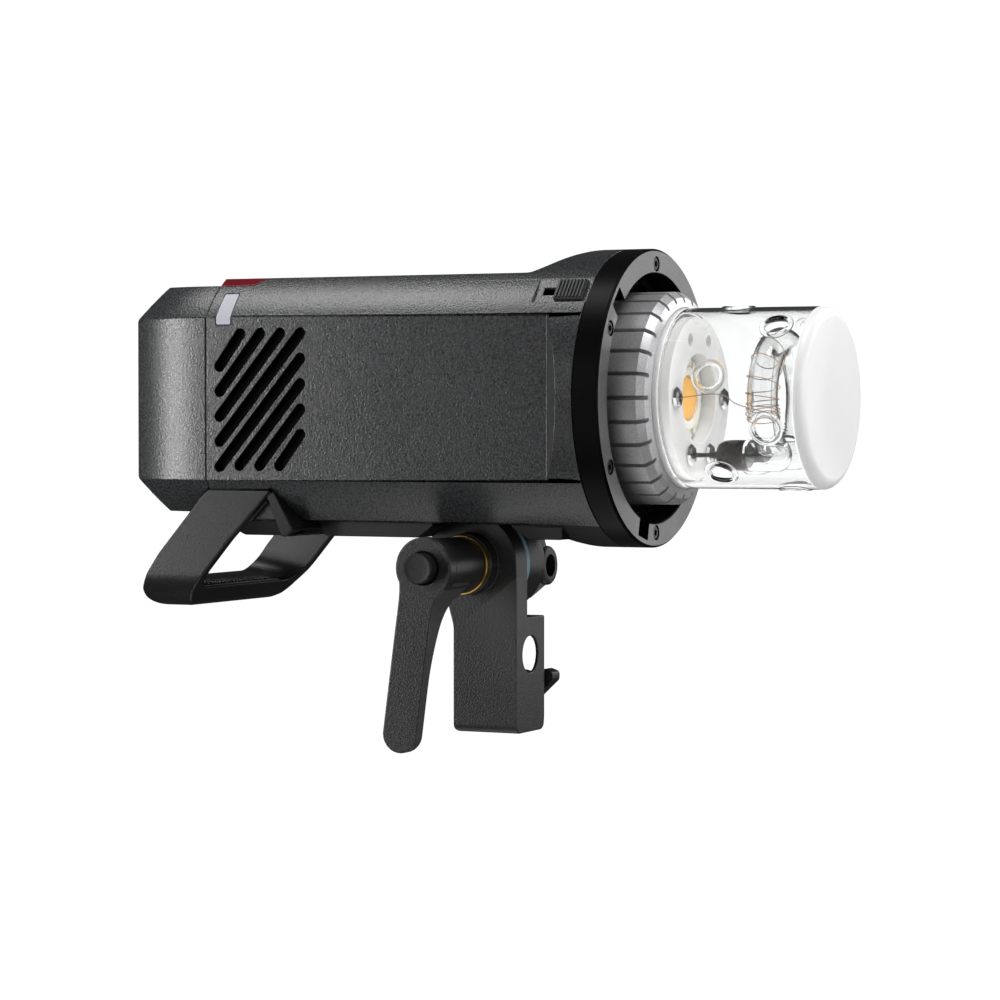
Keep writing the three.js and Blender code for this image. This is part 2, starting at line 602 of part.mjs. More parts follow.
// ---------------------------------------------------------------- rear housing and controls
const PANEL_Y = [228.5, 231.5];
const PANEL_HALF = [40.5, 41.5];
const LCD = { x: 30, z0: -2, z1: 37, y0: 230.6 };
const DIAL = [0, -23]; // (x, z) of the control dial
const KEY_R = 4.4;
const KEYS = {
  menu_button: [-29, -12], group_button: [-29, -29], lamp_button: [29, -12], power_button: [29, -29],
  test_button: [-17, -36],
};

const rearSection = (offset, y, inset) => ({ points: bodySection(offset, REAR_FLAT + offset, inset), y });

/** How far the sides draw in at y: a curve that tightens from the seam to the back. */
const SIDE_DRAW = 6;
const sideInset = (y) => SIDE_DRAW * ((y - SEAM_Y) / (REAR_Y - SEAM_Y)) ** 2.6;

/** Rear housing blank from y0 in front of the seam to y1. */
function rearBlank(offset, y0, y1) {
  const between = [0.2, 0.4, 0.6, 0.75, 0.9]
    .map((t) => SEAM_Y + t * (REAR_Y - SEAM_Y))
    .filter((y) => y < y1 - 1);
  const drawn = [...between, y1].map((y) => rearSection(offset, y, sideInset(y)));
  return loft([rearSection(offset, y0, 0), ...drawn]);
}

function rearHousing() {
  const slope = [[REAR_Y, 35.2], [224.5, 54.9], [250, 54.9], [250, 35.2]];
  const [halfX, halfZ] = PANEL_HALF;
  return cut(rearBlank(0, SEAM_Y, REAR_Y),
    prism('x', slope, -SKIN, SKIN), prism('x', slope.map(([y, z]) => [y, -z]), -SKIN, SKIN),
    rearBlank(-2.4, SEAM_Y - 1, PANEL_Y[0] - 1.5).intersect(
      box(-SKIN, SKIN, 190, PANEL_Y[0] - 1.5, -46.5, 46.5)),
    box(-halfX - GAP, halfX + GAP, 220, 240, -halfZ - GAP, halfZ + GAP),
    box(44, SKIN, 203, 221, -26, 4));
}

function controlPanel() {
  const [halfX, halfZ] = PANEL_HALF;
  const keyHoles = Object.values(KEYS).map((centre) =>
    rod('y', KEY_R + GAP, PANEL_Y[0] - 1, PANEL_Y[1] + 1, 14, centre));
  return cut(box(-halfX, halfX, ...PANEL_Y, -halfZ, halfZ), ...keyHoles,
    rod('y', 3.3, PANEL_Y[0] - 1, PANEL_Y[1] + 1, 12, DIAL),
    box(-LCD.x, LCD.x, LCD.y0, 240, LCD.z0, LCD.z1));
}

/** Push key in its own frame: round cap, retaining flange behind the panel. */
function pushKey() {
  return turned('y', [
    [0, PANEL_Y[0] - 1.8], [KEY_R + 1.2, PANEL_Y[0] - 1.8], [KEY_R + 1.2, PANEL_Y[0] - GAP],
    [KEY_R, PANEL_Y[0] - GAP], [KEY_R, PANEL_Y[1] + 1.2], [KEY_R - 0.6, PANEL_Y[1] + 1.8],
    [0, PANEL_Y[1] + 1.8],
  ], 14);
}

/** Control dial in its own frame: knurled rim, well for the set key, shaft. */
function controlDial() {
  const knurl = Array.from({ length: 40 }, (_, i) => arc(0, 0, i % 2 ? 13.8 : 13.2, i * 9, i * 9, 1)[0]);
  return cut(join(prism('y', knurl, PANEL_Y[1] + GAP, PANEL_Y[1] + 7.5), rod('y', 3, 222, 233, 12)),
    rod('y', 7.3, PANEL_Y[1] + 2.6, 245, 16));
}

/** Battery pack that fills the bay, its face flush with the body's side flat. */
function batteryPack() {
  const g = 0.4;
  return cut(box(BAY.x + g, BODY_FLAT, BAY.y0 + g, BAY.y1 - g, -BAY.z + g, BAY.z - g),
    box(BODY_FLAT - 3, SKIN, BAY.y1 - 14, BAY.y1 + 2, -14, 14),
    box(BODY_FLAT - 1.5, SKIN, BAY.y0 + 10, BAY.y0 + 14, -22, 22));
}

add('rear_housing', rearHousing(), shellPlastic());
add('control_panel', controlPanel(), blackPlastic());
add('lcd_window', box(-LCD.x + GAP, LCD.x - GAP, LCD.y0 + GAP, PANEL_Y[1] + 0.2, LCD.z0 + GAP, LCD.z1 - GAP),
  paint(0x10161c, 0.1));
add('control_dial', controlDial(), blackPlastic(), { position: [DIAL[0], 0, DIAL[1]] });
add('set_button', rod('y', 7, PANEL_Y[1] + 3.8, PANEL_Y[1] + 8.3, 16), shellPlastic(),
  { position: [DIAL[0], 0, DIAL[1]] });
for (const [name, [x, z]] of Object.entries(KEYS)) {
  add(name, pushKey(), blackPlastic(), { position: [x, 0, z] });
}
add('port_block', box(42.5, 50.5, 204, 220, -25, 3), blackPlastic());
add('port_cover', cut(
  rearBlank(0, SEAM_Y, REAR_Y).intersect(box(51, SKIN, 203.4, 220.6, -25.6, 3.6)),
  box(BODY_FLAT - 2.4, SKIN, 217.5, 222, -14, -8)), paint(0x1c1c1d, 0.85));
add('battery_pack', batteryPack(), blackPlastic());
add('battery_latch', box(BODY_FLAT - 2.6, BODY_FLAT, BAY.y1 - 13, BAY.y1 - 5, -13, 13), castMetal());

// ---------------------------------------------------------------- electronics inside
const CAPACITORS = [[-30, 32], [-34.5, 0], [-30, -32]];
add('main_board', cut(rod('y', 50, 205, 206.6, 24), box(38, SKIN, 190, 220, -SKIN, SKIN),
  box(-SKIN, SKIN, 190, 220, 45, SKIN), box(-SKIN, SKIN, 190, 220, -SKIN, -45)), boardGreen());
add('power_board', box(-12.6, -11, 30, 142, -45, 45), boardGreen());
CAPACITORS.forEach(([x, z], i) => {
  add(`flash_capacitor_${i + 1}`, rod('y', 15, 44, 130, 16, [x, z]), paint(0x25303f, 0.4));
});
add('trigger_transformer', box(-9.5, 13, 66, 104, -17, 17), paint(0x3b3426, 0.6));
add('fan_frame', cut(box(-39, 39, 149, 164, -39, 39), rod('y', 36, 140, 160.5, 24),
  cut(rod('y', 36, 160, 170, 24), rod('y', 15, 159, 170, 16), box(-40, 40, 159, 170, -3, 3))),
  blackPlastic());
const blades = Array.from({ length: 7 }, (_, i) =>
  box(-1, 1, 150.5, 159.5, 12, 34.5).rotate([0, (i * 360) / 7, 0]));
add('fan_rotor', join(rod('y', 14, 150, 160, 21), ...blades), blackPlastic());

// ---------------------------------------------------------------- carrying handle
/** Handle outline in (y, z), from the saddle to the grip bar. */
const ARM = [
  [196, -39.9], [201.6, -44.7], [207.1, -51.5], [223.1, -69.9], [229.8, -79.6], [233.6, -86.5],
  [233.8, -90.4], [232.2, -92.9], [228, -94.3], [214.6, -94.3], [211.4, -92.5], [207.1, -87],
  [201.3, -80.9], [186.3, -63.5], [163.9, -40.2],
];
const STRAP_T = 5;
const HANDLE_BOTTOM_Z = -94.3;
const HANDLE_CORNER = 18; // outer corners where the straps turn into the grip bar
const INNER_CORNER = 5;
const BAR_TOP = { at: [215, -84.3], slope: 9.5 }; // upper face of the grip bar, degrees

/** Outline in (x, z) of a trough with rounded lower corners. */
const trough = (halfX, bottomZ, corner, topZ) => [
  [halfX, topZ], [-halfX, topZ],
  ...arc(-halfX + corner, bottomZ + corner, corner, 180, 270, 5),
  ...arc(halfX - corner, bottomZ + corner, corner, 270, 360, 5),
];

/** Carrying handle: saddle under the body, two straps and the bar between them. */
function handleFrame() {
  const outer = prism('y', trough(HANDLE_X, HANDLE_BOTTOM_Z, HANDLE_CORNER, 0), 150, 240);
  const inner = prism('y', trough(HANDLE_X - STRAP_T, 0, INNER_CORNER, 90), -80, 60)
    .rotate([BAR_TOP.slope, 0, 0]).translate([0, ...BAR_TOP.at]);
  const straps = cut(prism('x', ARM, -HANDLE_X, HANDLE_X).intersect(outer), inner);
  const side = [
    [196, -39.9], [163.9, -40.2], [153.6, -58], [157, RAIL_Z], [186.3, RAIL_Z], [196, -52],
  ];
  const wall = HANDLE_X - STRAP_T + 0.5;
  const saddle = prism('y', bodySection(6.5, 61.5), 150, SEAM_Y - 0.5)
    .intersect(prism('x', side, -wall, wall));
  const legs = [-1, 1].map((sign) => prism('z', [
    [sign * 40, 150], [sign * 40, 172], [sign * HANDLE_X, 172], [sign * HANDLE_X, 150],
  ], RAIL_Z, -39).intersect(prism('x', [
    [163.9, -40.2], [167.5, -42.5], [159.8, RAIL_Z], [157, RAIL_Z], [153.6, -58],
  ], -HANDLE_X, HANDLE_X)));
  const gripSeat = prism('x', [
    [209, -86.9], [224, -84.4], [224, -70], [209, -70],
  ], -36, 36);
  return cut(join(saddle, straps, ...legs), prism('y', bodySection(GAP), 100, 205),
    prism('x', [[92, -50], [92, RAIL_Z - GAP], [147.3, RAIL_Z - GAP], [152.4, -50]], -34.5, 34.5),
    gripSeat);
}

function handleGrip() {
  return prism('x', [[209.3, -86.5], [223.7, -84.1], [223.7, -82.3], [209.3, -84.7]], -35.7, 35.7);
}

add('handle_frame', handleFrame(), blackPlastic());
add('handle_grip', handleGrip(), paint(0x1a1a1a, 0.9));

export default model;
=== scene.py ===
import json
import math

import bmesh
import bpy
from mathutils import Matrix, Vector

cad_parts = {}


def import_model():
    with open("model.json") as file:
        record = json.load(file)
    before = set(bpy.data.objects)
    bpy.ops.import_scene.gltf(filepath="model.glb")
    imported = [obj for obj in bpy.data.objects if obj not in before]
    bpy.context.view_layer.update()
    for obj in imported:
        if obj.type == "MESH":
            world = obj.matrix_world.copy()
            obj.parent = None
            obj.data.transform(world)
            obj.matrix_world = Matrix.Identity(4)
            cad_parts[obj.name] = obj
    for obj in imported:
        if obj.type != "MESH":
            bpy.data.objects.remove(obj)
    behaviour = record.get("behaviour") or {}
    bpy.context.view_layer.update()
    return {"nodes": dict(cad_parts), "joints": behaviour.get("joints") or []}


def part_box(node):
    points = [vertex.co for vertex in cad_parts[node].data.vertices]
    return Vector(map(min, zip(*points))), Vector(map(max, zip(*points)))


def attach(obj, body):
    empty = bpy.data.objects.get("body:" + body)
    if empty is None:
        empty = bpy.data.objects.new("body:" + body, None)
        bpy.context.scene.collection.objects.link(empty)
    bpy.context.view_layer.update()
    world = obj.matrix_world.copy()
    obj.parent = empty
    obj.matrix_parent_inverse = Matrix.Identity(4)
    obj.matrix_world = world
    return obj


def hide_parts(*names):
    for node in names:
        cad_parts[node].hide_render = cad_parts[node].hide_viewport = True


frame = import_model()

# ---- sizes, in millimetres
# Counted from the centre of the bayonet ring's front face, as the head is laid out.
RING_R = 65.5
RING_OPEN_R = 54.75
RING_T = 11.6
BODY_FLAT = 54.5
REAR_FLAT = 51.2
SEAM_Y = 196.5
REAR_Y = 235.7
WALL = 2.2
CAVITY_FLAT = 50.4
PANEL_FRONT_Y = 28
RAIL_Z = -61.5
LOBE_R = 22.6
BLOCK_X = 15
BLOCK_FRONT_Y = 60.7
BLOCK_REAR_Y = 92
BRACKET_BOTTOM_Z = -149
PLATE_INNER_X = -3.2
LUG_X = (0.6, 13)
SPIGOT_R = 8.2
CROSS_HOLE_Z = -114.2
KNOB_Z = -131
UMBRELLA = (33.3, -76)
LEVER_X = -62
LEVER_T = 6.2
LEVER_LENGTH = 73.3
LEVER_ANGLE = math.radians(7.45)
ARM_SHIFT = 2
BUTTON_R = 6.8
BOSS_X = -22.2
BRASS_X = (-25.3, -22.5)
UMBRELLA_TUBE_R = 9
SINK_R = 46.5
SINK_FRONT_Y = -12.6
DOME_R = 39.3
DOME_WALL = 1.7
DOME_FRONT_Y = -82
BASE_FACE_Y = -20.5
TUBE_RING_R = 24
TUBE_R = 6.5
TUBE_Y = -58.5
ELECTRODE_X = 11
ELECTRODE_Z = -24.5
GAP = 0.3
FAR = 80  # reach of cutting tools beyond the body
BOLT_HOLE_R = 4.3
BOLT_HEAD = (20.3, 25.5)
VENT_W = 5
FIN_COUNT = 28
LAMP_BASE_R = (19.5, 35.5)
LAMP_BOARD_R = 18.8
CAP_T = 4.6  # depth of the frosted front of the dome
VENT_RIM = {"hole": 5.1, "ring": 6.3, "bead": 1.45}
RAIL_HALF_X = 34
LEVER_BUTTON_OUT = 5.6

ring_low, ring_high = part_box("bayonet_ring")
ORIGIN = Vector(((ring_low[0] + ring_high[0]) / 2, ring_low[1], (ring_low[2] + ring_high[2]) / 2))
TO_ROW = Matrix.Translation(ORIGIN) @ Matrix.Scale(0.001, 4)
joints = {joint["name"]: joint for joint in frame["joints"]}
tilt = (Vector(joints["head_tilt"]["pos_m"]) - ORIGIN) * 1000
TILT = (tilt.y, tilt.z)
SOCKET_Y = -ORIGIN.y * 1000

# ---- mesh helpers
PLACE = {
    "x": lambda u, v, w: (w, u, v),
    "y": lambda u, v, w: (u, w, v),
    "z": lambda u, v, w: (u, v, w),
}


def mesh_of(vertices, faces):
    """A closed mesh with welded corners and outward faces."""
    mesh = bpy.data.meshes.new("blank")
    mesh.from_pydata([tuple(v) for v in vertices], [], faces)
    work = bmesh.new()
    work.from_mesh(mesh)
    bmesh.ops.remove_doubles(work, verts=work.verts, dist=1e-4)
    bmesh.ops.recalc_face_normals(work, faces=work.faces)
    work.to_mesh(mesh)
    work.free()
    return mesh


def loft(rings, closed=False):
    """Skin through rings that hold the same number of points; a lone point is a pole."""
    vertices, index = [], []
    for ring in rings:
        index.append(range(len(vertices), len(vertices) + len(ring)))
        vertices.extend(ring)
    faces = []
    pairs = list(zip(index, index[1:]))
    if closed:
        pairs.append((index[-1], index[0]))
    for one, two in pairs:
        count = max(len(one), len(two))
        for i in range(count):
            j = (i + 1) % count
            corners = [one[i % len(one)], one[j % len(one)], two[j % len(two)], two[i % len(two)]]
            faces.append(list(dict.fromkeys(corners)))
    if not closed:
        for end in (index[0], index[-1]):
            if len(end) > 2:
                faces.append(list(end))
    return mesh_of(vertices, faces)


def prism(axis, outline, low, high):
    return loft([[PLACE[axis](u, v, w) for u, v in outline] for w in (low, high)])


def polar(u, v, radius, turn):
    return (u + radius * math.cos(turn), v + radius * math.sin(turn))


def turns(count):
    return [2 * math.pi * i / count for i in range(count)]


def turned(axis, profile, at=(0, 0), steps=96):
    """Solid of revolution; profile holds (radius, position along the axis)."""
    closed = profile[0] == profile[-1]
    rings = []
    for radius, along in profile[: -1 if closed else None]:
        if radius == 0:
            rings.append([PLACE[axis](*at, along)])
        else:
            rings.append([PLACE[axis](*polar(*at, radius, t), along) for t in turns(steps)])
    return loft(rings, closed)


def rod(axis, radius, low, high, at=(0, 0), steps=48, edge=0.0):
    profile = [(0, low), (radius - edge, low), (radius, low + edge), (radius, high - edge),
               (radius - edge, high), (0, high)]
    return turned(axis, list(dict.fromkeys(profile)), at, steps)


def rectangle(u0, u1, v0, v1):
    return [(u0, v0), (u1, v0), (u1, v1), (u0, v1)]


def box(x0, x1, y0, y1, z0, z1):
    return prism("z", rectangle(x0, x1, y0, y1), z0, z1)


def arc(u, v, radius, start, end, steps):
    angles = [math.radians(start + (end - start) * i / steps) for i in range(steps + 1)]
    return [polar(u, v, radius, angle) for angle in angles]


def slot(one, two, width, steps=10):
    heading = math.degrees(math.atan2(two[1] - one[1], two[0] - one[0]))
    return (arc(*two, width / 2, heading - 90, heading + 90, steps)
            + arc(*one, width / 2, heading + 90, heading + 270, steps))


def rounded(outline, radius, steps=6):
    """The outline with rounded corners; radius may be a list, one per corner."""
    result = []
    count = len(outline)
    for i, corner in enumerate(outline):
        reach = radius[i] if isinstance(radius, list) else radius
        here = Vector(corner)
        before = Vector(outline[i - 1]) - here
        after = Vector(outline[(i + 1) % count]) - here
        between = before.angle(after)
        run = min(reach / math.tan(between / 2), before.length * 0.48, after.length * 0.48)
        if reach <= 0 or run < 1e-3:
            result.append(corner)
            continue
        start = here + before.normalized() * run
        end = here + after.normalized() * run
        for s in range(steps + 1):
            t = s / steps
            point = start * (1 - t) ** 2 + here * 2 * t * (1 - t) + end * t ** 2
            result.append((point.x, point.y))
    return result


def spline(points, steps):
    """A smooth curve through points (Catmull-Rom), with steps pieces between neighbours."""
    points = [Vector(p) for p in points]
    ends = [points[0] * 2 - points[1], *points, points[-1] * 2 - points[-2]]
    result = []
    for a, b, c, d in zip(ends, ends[1:], ends[2:], ends[3:]):
        for s in range(steps):
            t = s / steps
            result.append(0.5 * (2 * b + (c - a) * t + (2 * a - 5 * b + 4 * c - d) * t ** 2
                                 + (3 * b - a - 3 * c + d) * t ** 3))
    return [tuple(p) for p in (*result, points[-1])]


def sweep(path, radius, sides=10, closed=False):
    """A round bar along a path, with its section carried on without twist."""
    path = [Vector(p) for p in path]
    count = len(path)
    side = None
    rings = []
    for i, point in enumerate(path):
        ahead = path[(i + 1) % count] if closed or i < count - 1 else point
        behind = path[i - 1] if closed or i > 0 else point
        heading = (ahead - behind).normalized()
        if side is None:
            side = heading.orthogonal()
        side = (side - heading * side.dot(heading)).normalized()
        up = heading.cross(side)
        rings.append([point + (side * math.cos(t) + up * math.sin(t)) * radius for t in turns(sides)])
    return loft(rings, closed)


def placed(name, data):
    """A new object in the scene that holds the data."""
    obj = bpy.data.objects.new(name, data)
    bpy.context.scene.collection.objects.link(obj)
    return obj


def combined(operation, base, tools):
    """The base after a boolean with each tool in turn."""
    holder = placed("holder", base)
    others = [placed("tool", tool) for tool in tools]
    for other in others:
        modifier = holder.modifiers.new("boolean", "BOOLEAN")
        modifier.operation = operation
        modifier.solver = "MANIFOLD"
        modifier.object = other
    graph = bpy.context.evaluated_depsgraph_get()
    result = bpy.data.meshes.new_from_object(holder.evaluated_get(graph), depsgraph=graph)
    for obj in (holder, *others):
        bpy.data.objects.remove(obj)
    return result


def cut(base, *tools):
    return combined("DIFFERENCE", base, tools)


def join(base, *tools):
    return combined("UNION", base, tools)


def overlap(base, *tools):
    return combined("INTERSECT", base, tools)


def moved(mesh, matrix):
    mesh = mesh.copy()
    mesh.transform(matrix)
    return mesh


def spun(mesh, degrees):
    """Turned about the head's long axis."""
    return moved(mesh, Matrix.Rotation(math.radians(-degrees), 4, "Y"))


# Pieces whose rounded edges keep their full width beside short edges.
UNCLAMPED = ("shell", "rear_case", "bracket_casting", "handle", "clamp_lever")


def cleaned(mesh):
    """Without the doubled corners and needless splits that cutting leaves in flat faces."""
    mesh = mesh.copy()
    work = bmesh.new()
    work.from_mesh(mesh)
    bmesh.ops.remove_doubles(work, verts=work.verts, dist=0.01)
    bmesh.ops.dissolve_limit(work, angle_limit=math.radians(0.3), verts=work.verts, edges=work.edges)
    work.to_mesh(mesh)
    work.free()
    return mesh


def piece(name, mesh, materials, body, stands_for="", edge=0.0, segments=3, limit=30,
          paint=None):
    """Puts a finished mesh into the scene, rides it on its body and hides the model part it stands for."""
    mesh = cleaned(mesh)
    mesh.name = name
    if not isinstance(materials, list):
        materials = [materials]
    mesh.materials.clear()
    for material in materials:
        mesh.materials.append(material)
    for face in mesh.polygons:
        face.material_index = paint(face) if paint else 0
    mesh.transform(TO_ROW)
    mesh.shade_smooth()
    mesh.set_sharp_from_angle(angle=math.radians(limit))
    obj = placed(name, mesh)
    if edge:
        bevel = obj.modifiers.new("edge", "BEVEL")
        bevel.width = edge / 1000
        bevel.segments = segments
        bevel.limit_method = "ANGLE"
        bevel.angle_limit = math.radians(limit)
        bevel.use_clamp_overlap = name not in UNCLAMPED
        bevel.harden_normals = True
    else:
        obj.modifiers.new("normals", "WEIGHTED_NORMAL").keep_sharp = True
    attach(obj, body)
    if stands_for:
        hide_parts(stands_for)
    return obj


# ---- materials
def surface(name, colour, rough, speckle, bump, metal=0.0, wear=0.0, mottle=0.06, **sockets):
    """A procedural finish: speckled colour, uneven roughness, fine bump and paler edges.

    speckle is (grains per metre, contrast), bump is (grains per metre, depth in mm).
    """
    material = bpy.data.materials.new(name)
    material.use_nodes = True
    nodes = material.node_tree.nodes
    links = material.node_tree.links
    shader = nodes["Principled BSDF"]
    shader.inputs["Metallic"].default_value = metal
    for socket, value in sockets.items():
        shader.inputs[socket.replace("_", " ")].default_value = value
    where = nodes.new("ShaderNodeTexCoord").outputs["Object"]

    def noise(scale, detail=2.0):
        node = nodes.new("ShaderNodeTexNoise")
        node.inputs["Scale"].default_value = scale
        node.inputs["Detail"].default_value = detail
        links.new(where, node.inputs["Vector"])
        return node.outputs["Fac"]

    def stretched(value, *limits):
        node = nodes.new("ShaderNodeMapRange")
        for socket, number in zip(("From Min", "From Max", "To Min", "To Max"), limits):
            node.inputs[socket].default_value = number
        links.new(value, node.inputs["Value"])
        return node.outputs["Result"]

    def mixed(factor, one, two):
        node = nodes.new("ShaderNodeMix")
        node.data_type = "RGBA"
        links.new(factor, node.inputs["Factor"])
        for socket, value in ((6, one), (7, two)):
            if isinstance(value, tuple):
                node.inputs[socket].default_value = value
            else:
                links.new(value, node.inputs[socket])
        return node.outputs[2]

    def tone(factor):
        return (*[min(1.0, c * factor) for c in colour], 1.0)

    scale, amount = speckle
    grains = mixed(stretched(noise(scale), 0.3, 0.7, 0, 1), tone(1 - amount), tone(1 + amount))
    clouds = stretched(noise(28, 3.0), 0.3, 0.7, 0, 1)
    final = mixed(stretched(clouds, 0, 1, 0, 0.08), grains, tone(1 - mottle * 2))
    if wear:
        points = nodes.new("ShaderNodeNewGeometry").outputs["Pointiness"]
        pale = tuple(min(1.0, c + wear) for c in colour) + (1.0,)
        final = mixed(stretched(points, 0.53, 0.62, 0, 0.7), final, pale)
    links.new(final, shader.inputs["Base Color"])
    links.new(stretched(clouds, 0, 1, rough - mottle, rough + mottle), shader.inputs["Roughness"])
    if bump:
        node = nodes.new("ShaderNodeBump")
        node.inputs["Strength"].default_value = 1.0
        node.inputs["Distance"].default_value = bump[1] / 1000
        links.new(noise(bump[0], 1.5), node.inputs["Height"])
        links.new(node.outputs["Normal"], shader.inputs["Normal"])
    return material


def glass(name, tint, ior):
    """Clear quartz or glass with a faint waviness."""
    return surface(name, tint, 0.02, (300, 0.005), (60, 0.012), mottle=0.004, Transmission_Weight=1.0,
                   IOR=ior)


SHELL = surface("shell", (0.030, 0.031, 0.0325), 0.27, (1200, 0.8), (1150, 0.13), wear=0.02, mottle=0.008)
SHELL_SMOOTH = surface("shell_smooth", (0.016, 0.0165, 0.017), 0.42, (1500, 0.08), (2000, 0.008),
                       mottle=0.01, Specular_IOR_Level=0.12)
# Near-black, dull: painted shade on the rails under the body and on the handle's front legs beside it.
SHADE_BLACK = surface("painted_shade_black", (0.006, 0.006, 0.0065), 0.5, (1500, 0.3), (1500, 0.03),
               Specular_IOR_Level=0.2)
BLACK = surface("black_plastic", (0.013, 0.013, 0.014), 0.40, (1800, 0.3), (1700, 0.025), wear=0.02,
                mottle=0.015, Specular_IOR_Level=0.35)
HANDLE = surface("handle_black", (0.011, 0.011, 0.0115), 0.34, (1300, 0.5), (1200, 0.05), wear=0.02,
                 mottle=0.015, Specular_IOR_Level=0.26)
RING_RIM = surface("ring_black", (0.002, 0.002, 0.0022), 0.32, (1500, 0.1), (1600, 0.004), mottle=0.01,
                   Specular_IOR_Level=0.07)
RING_FACE = surface("ring_face", (0.20, 0.20, 0.205), 0.36, (1500, 0.12), (1500, 0.006), metal=0.8)
SCREW = surface("screw_black", (0.025, 0.025, 0.026), 0.30, (1500, 0.2), (1500, 0.01), metal=0.6, wear=0.08)
CAST = surface("cast", (0.016, 0.016, 0.017), 0.35, (1200, 0.7), (1150, 0.10), wear=0.03, mottle=0.015,
               Specular_IOR_Level=0.38)
# Smoother, much paler copy of the cast finish: painted light on the lever's front side below the hub.
CAST_PAINTED_LIGHT = surface("cast_painted_light", (0.060, 0.060, 0.062), 0.30, (1300, 0.2), (1500, 0.006))
BUTTON = surface("button_black", (0.008, 0.008, 0.0085), 0.46, (1300, 0.5), (1300, 0.06),
                 Specular_IOR_Level=0.25)
SINK = surface("sink_aluminium", (0.60, 0.60, 0.61), 0.46, (1300, 0.14), (1300, 0.035), metal=0.75,
               mottle=0.02)
STEEL = surface("steel", (0.62, 0.62, 0.63), 0.16, (1500, 0.05), (1500, 0.004), metal=1.0)
BRASS = surface("brass", (0.62, 0.40, 0.11), 0.28, (1500, 0.12), (1500, 0.008), metal=1.0)
WASHER = surface("washer", (0.22, 0.42, 0.54), 0.45, (1200, 0.1), (1200, 0.01))
CERAMIC = surface("ceramic", (0.76, 0.76, 0.75), 0.30, (1200, 0.02), (400, 0.01), Coat_Weight=0.3)
CREAM = surface("board_cream", (0.78, 0.74, 0.66), 0.45, (900, 0.03), (900, 0.01))
PHOSPHOR = surface("phosphor", (0.80, 0.42, 0.09), 0.5, (1400, 0.05), (1400, 0.02))
CLEAR = glass("dome_glass", (0.985, 0.99, 0.99), 1.24)
QUARTZ = glass("quartz", (0.97, 0.975, 0.975), 1.46)
FROSTED = surface("frosted_glass", (0.80, 0.80, 0.80), 0.42, (1200, 0.01), (900, 0.008),
                  Transmission_Weight=0.25)
FROSTED_BAND = surface("frosted_band", (0.95, 0.95, 0.95), 0.42, (1200, 0.01), (900, 0.008), mottle=0.01,
                       Subsurface_Weight=0.6, Subsurface_Radius=(1, 1, 1), Subsurface_Scale=0.008)
ELECTRODE = surface("electrode", (0.012, 0.006, 0.004), 0.12, (260, 0.9), (220, 0.08), Coat_Weight=0.1,
                    Specular_IOR_Level=0.22)
WIRE = surface("wire", (0.34, 0.22, 0.14), 0.32, (900, 0.3), None, metal=0.8)
RED = surface("sensor_red", (0.15, 0.005, 0.010), 0.12, (500, 0.1), (500, 0.004), Coat_Weight=0.6)
MILKY = surface("indicator", (0.42, 0.42, 0.47), 0.40, (900, 0.04), (1400, 0.01))
# Near-black, almost unshiny: painted shade inside the vent slots and on the sheets just behind them.
VENT_SHADE = surface("vent_shade", (0.0015, 0.0015, 0.0015), 0.8, (1100, 0.8), (900, 0.12),
                 Specular_IOR_Level=0.04)
LCD = surface("lcd_glass", (0.006, 0.007, 0.009), 0.06, (400, 0.1), (200, 0.002), Coat_Weight=0.5)
RUBBER = surface("rubber", (0.014, 0.014, 0.014), 0.62, (1500, 0.3), (1500, 0.03))
CASE = surface("battery_case", (0.026, 0.026, 0.028), 0.45, (1500, 0.35), (1500, 0.04), wear=0.02)
BOARD = surface("circuit_board", (0.02, 0.11, 0.045), 0.40, (500, 0.3), (700, 0.04))
SLEEVE = surface("capacitor_sleeve", (0.02, 0.03, 0.07), 0.30, (700, 0.15), (300, 0.02))
WRAP = surface("transformer_tape", (0.32, 0.22, 0.05), 0.45, (700, 0.2), (500, 0.05))


# ---- main shell
def section(offset, flat=None, inset=0.0, steps=20):
    """Body section in (x, z): a circle with four flats, as the shell and rear housing share it."""
    radius = RING_R + offset
    flat_x = BODY_FLAT + offset
    flat_z = flat_x if flat is None else flat
    corner_z = math.sqrt(radius ** 2 - flat_x ** 2)
    start = math.degrees(math.acos(flat_x / radius))
    end = math.degrees(math.asin(flat_z / radius))
    quarter = []
    for x, z in arc(0, 0, radius, start, end, steps):
        lean = 1 + 0.8 * (z - corner_z) / (flat_z - corner_z)
        quarter.append((x - inset * lean, z))
    upper = quarter + [(-x, z) for x, z in reversed(quarter)]
    return upper + [(-x, -z) for x, z in upper]


def vent_ends():
    """The eight slanted cooling slots, as end points in (y, z)."""
    ends = []
    for i in range(8):
        high = (178.6 - i * 10.2, 29) if i < 3 else (148.1, 29 - (i - 3) * 11.25)
        low = (189.2, 14.7 - i * 11.25) if i < 5 else (189.2 - (i - 4) * 10.2, -29.7)
        ends.append((high, low))
    return ends


def window_outline(grow):
    return [(-41 - grow, SEAM_Y), (-40.6 - grow, 179 - grow), (-33 - grow, 171 - grow),
            (33 + grow, 171 - grow), (40.6 + grow, 179 - grow), (41 + grow, SEAM_Y)]


def indicator_outline(grow):
    low, high = 33.3 - grow, 47.2 + grow
    corners = [(183.6 - grow, low), (190.9 + grow, low), (191.1 + grow, high), (184.1 - grow, high)]
    return rounded(corners, 0.9 + grow, 4)


LOCK_LOW = Vector((-49.9, 40.4))
LOCK_HIGH = Vector((-40.6, 51.4))


def on_facet(along, out):
    """A point beside the mount lock's facet, shifted along it and out of it."""
    run = (LOCK_HIGH - LOCK_LOW).normalized()
    point = LOCK_LOW + run * along + Vector((-run.y, run.x)) * out
    return (point.x, point.y)


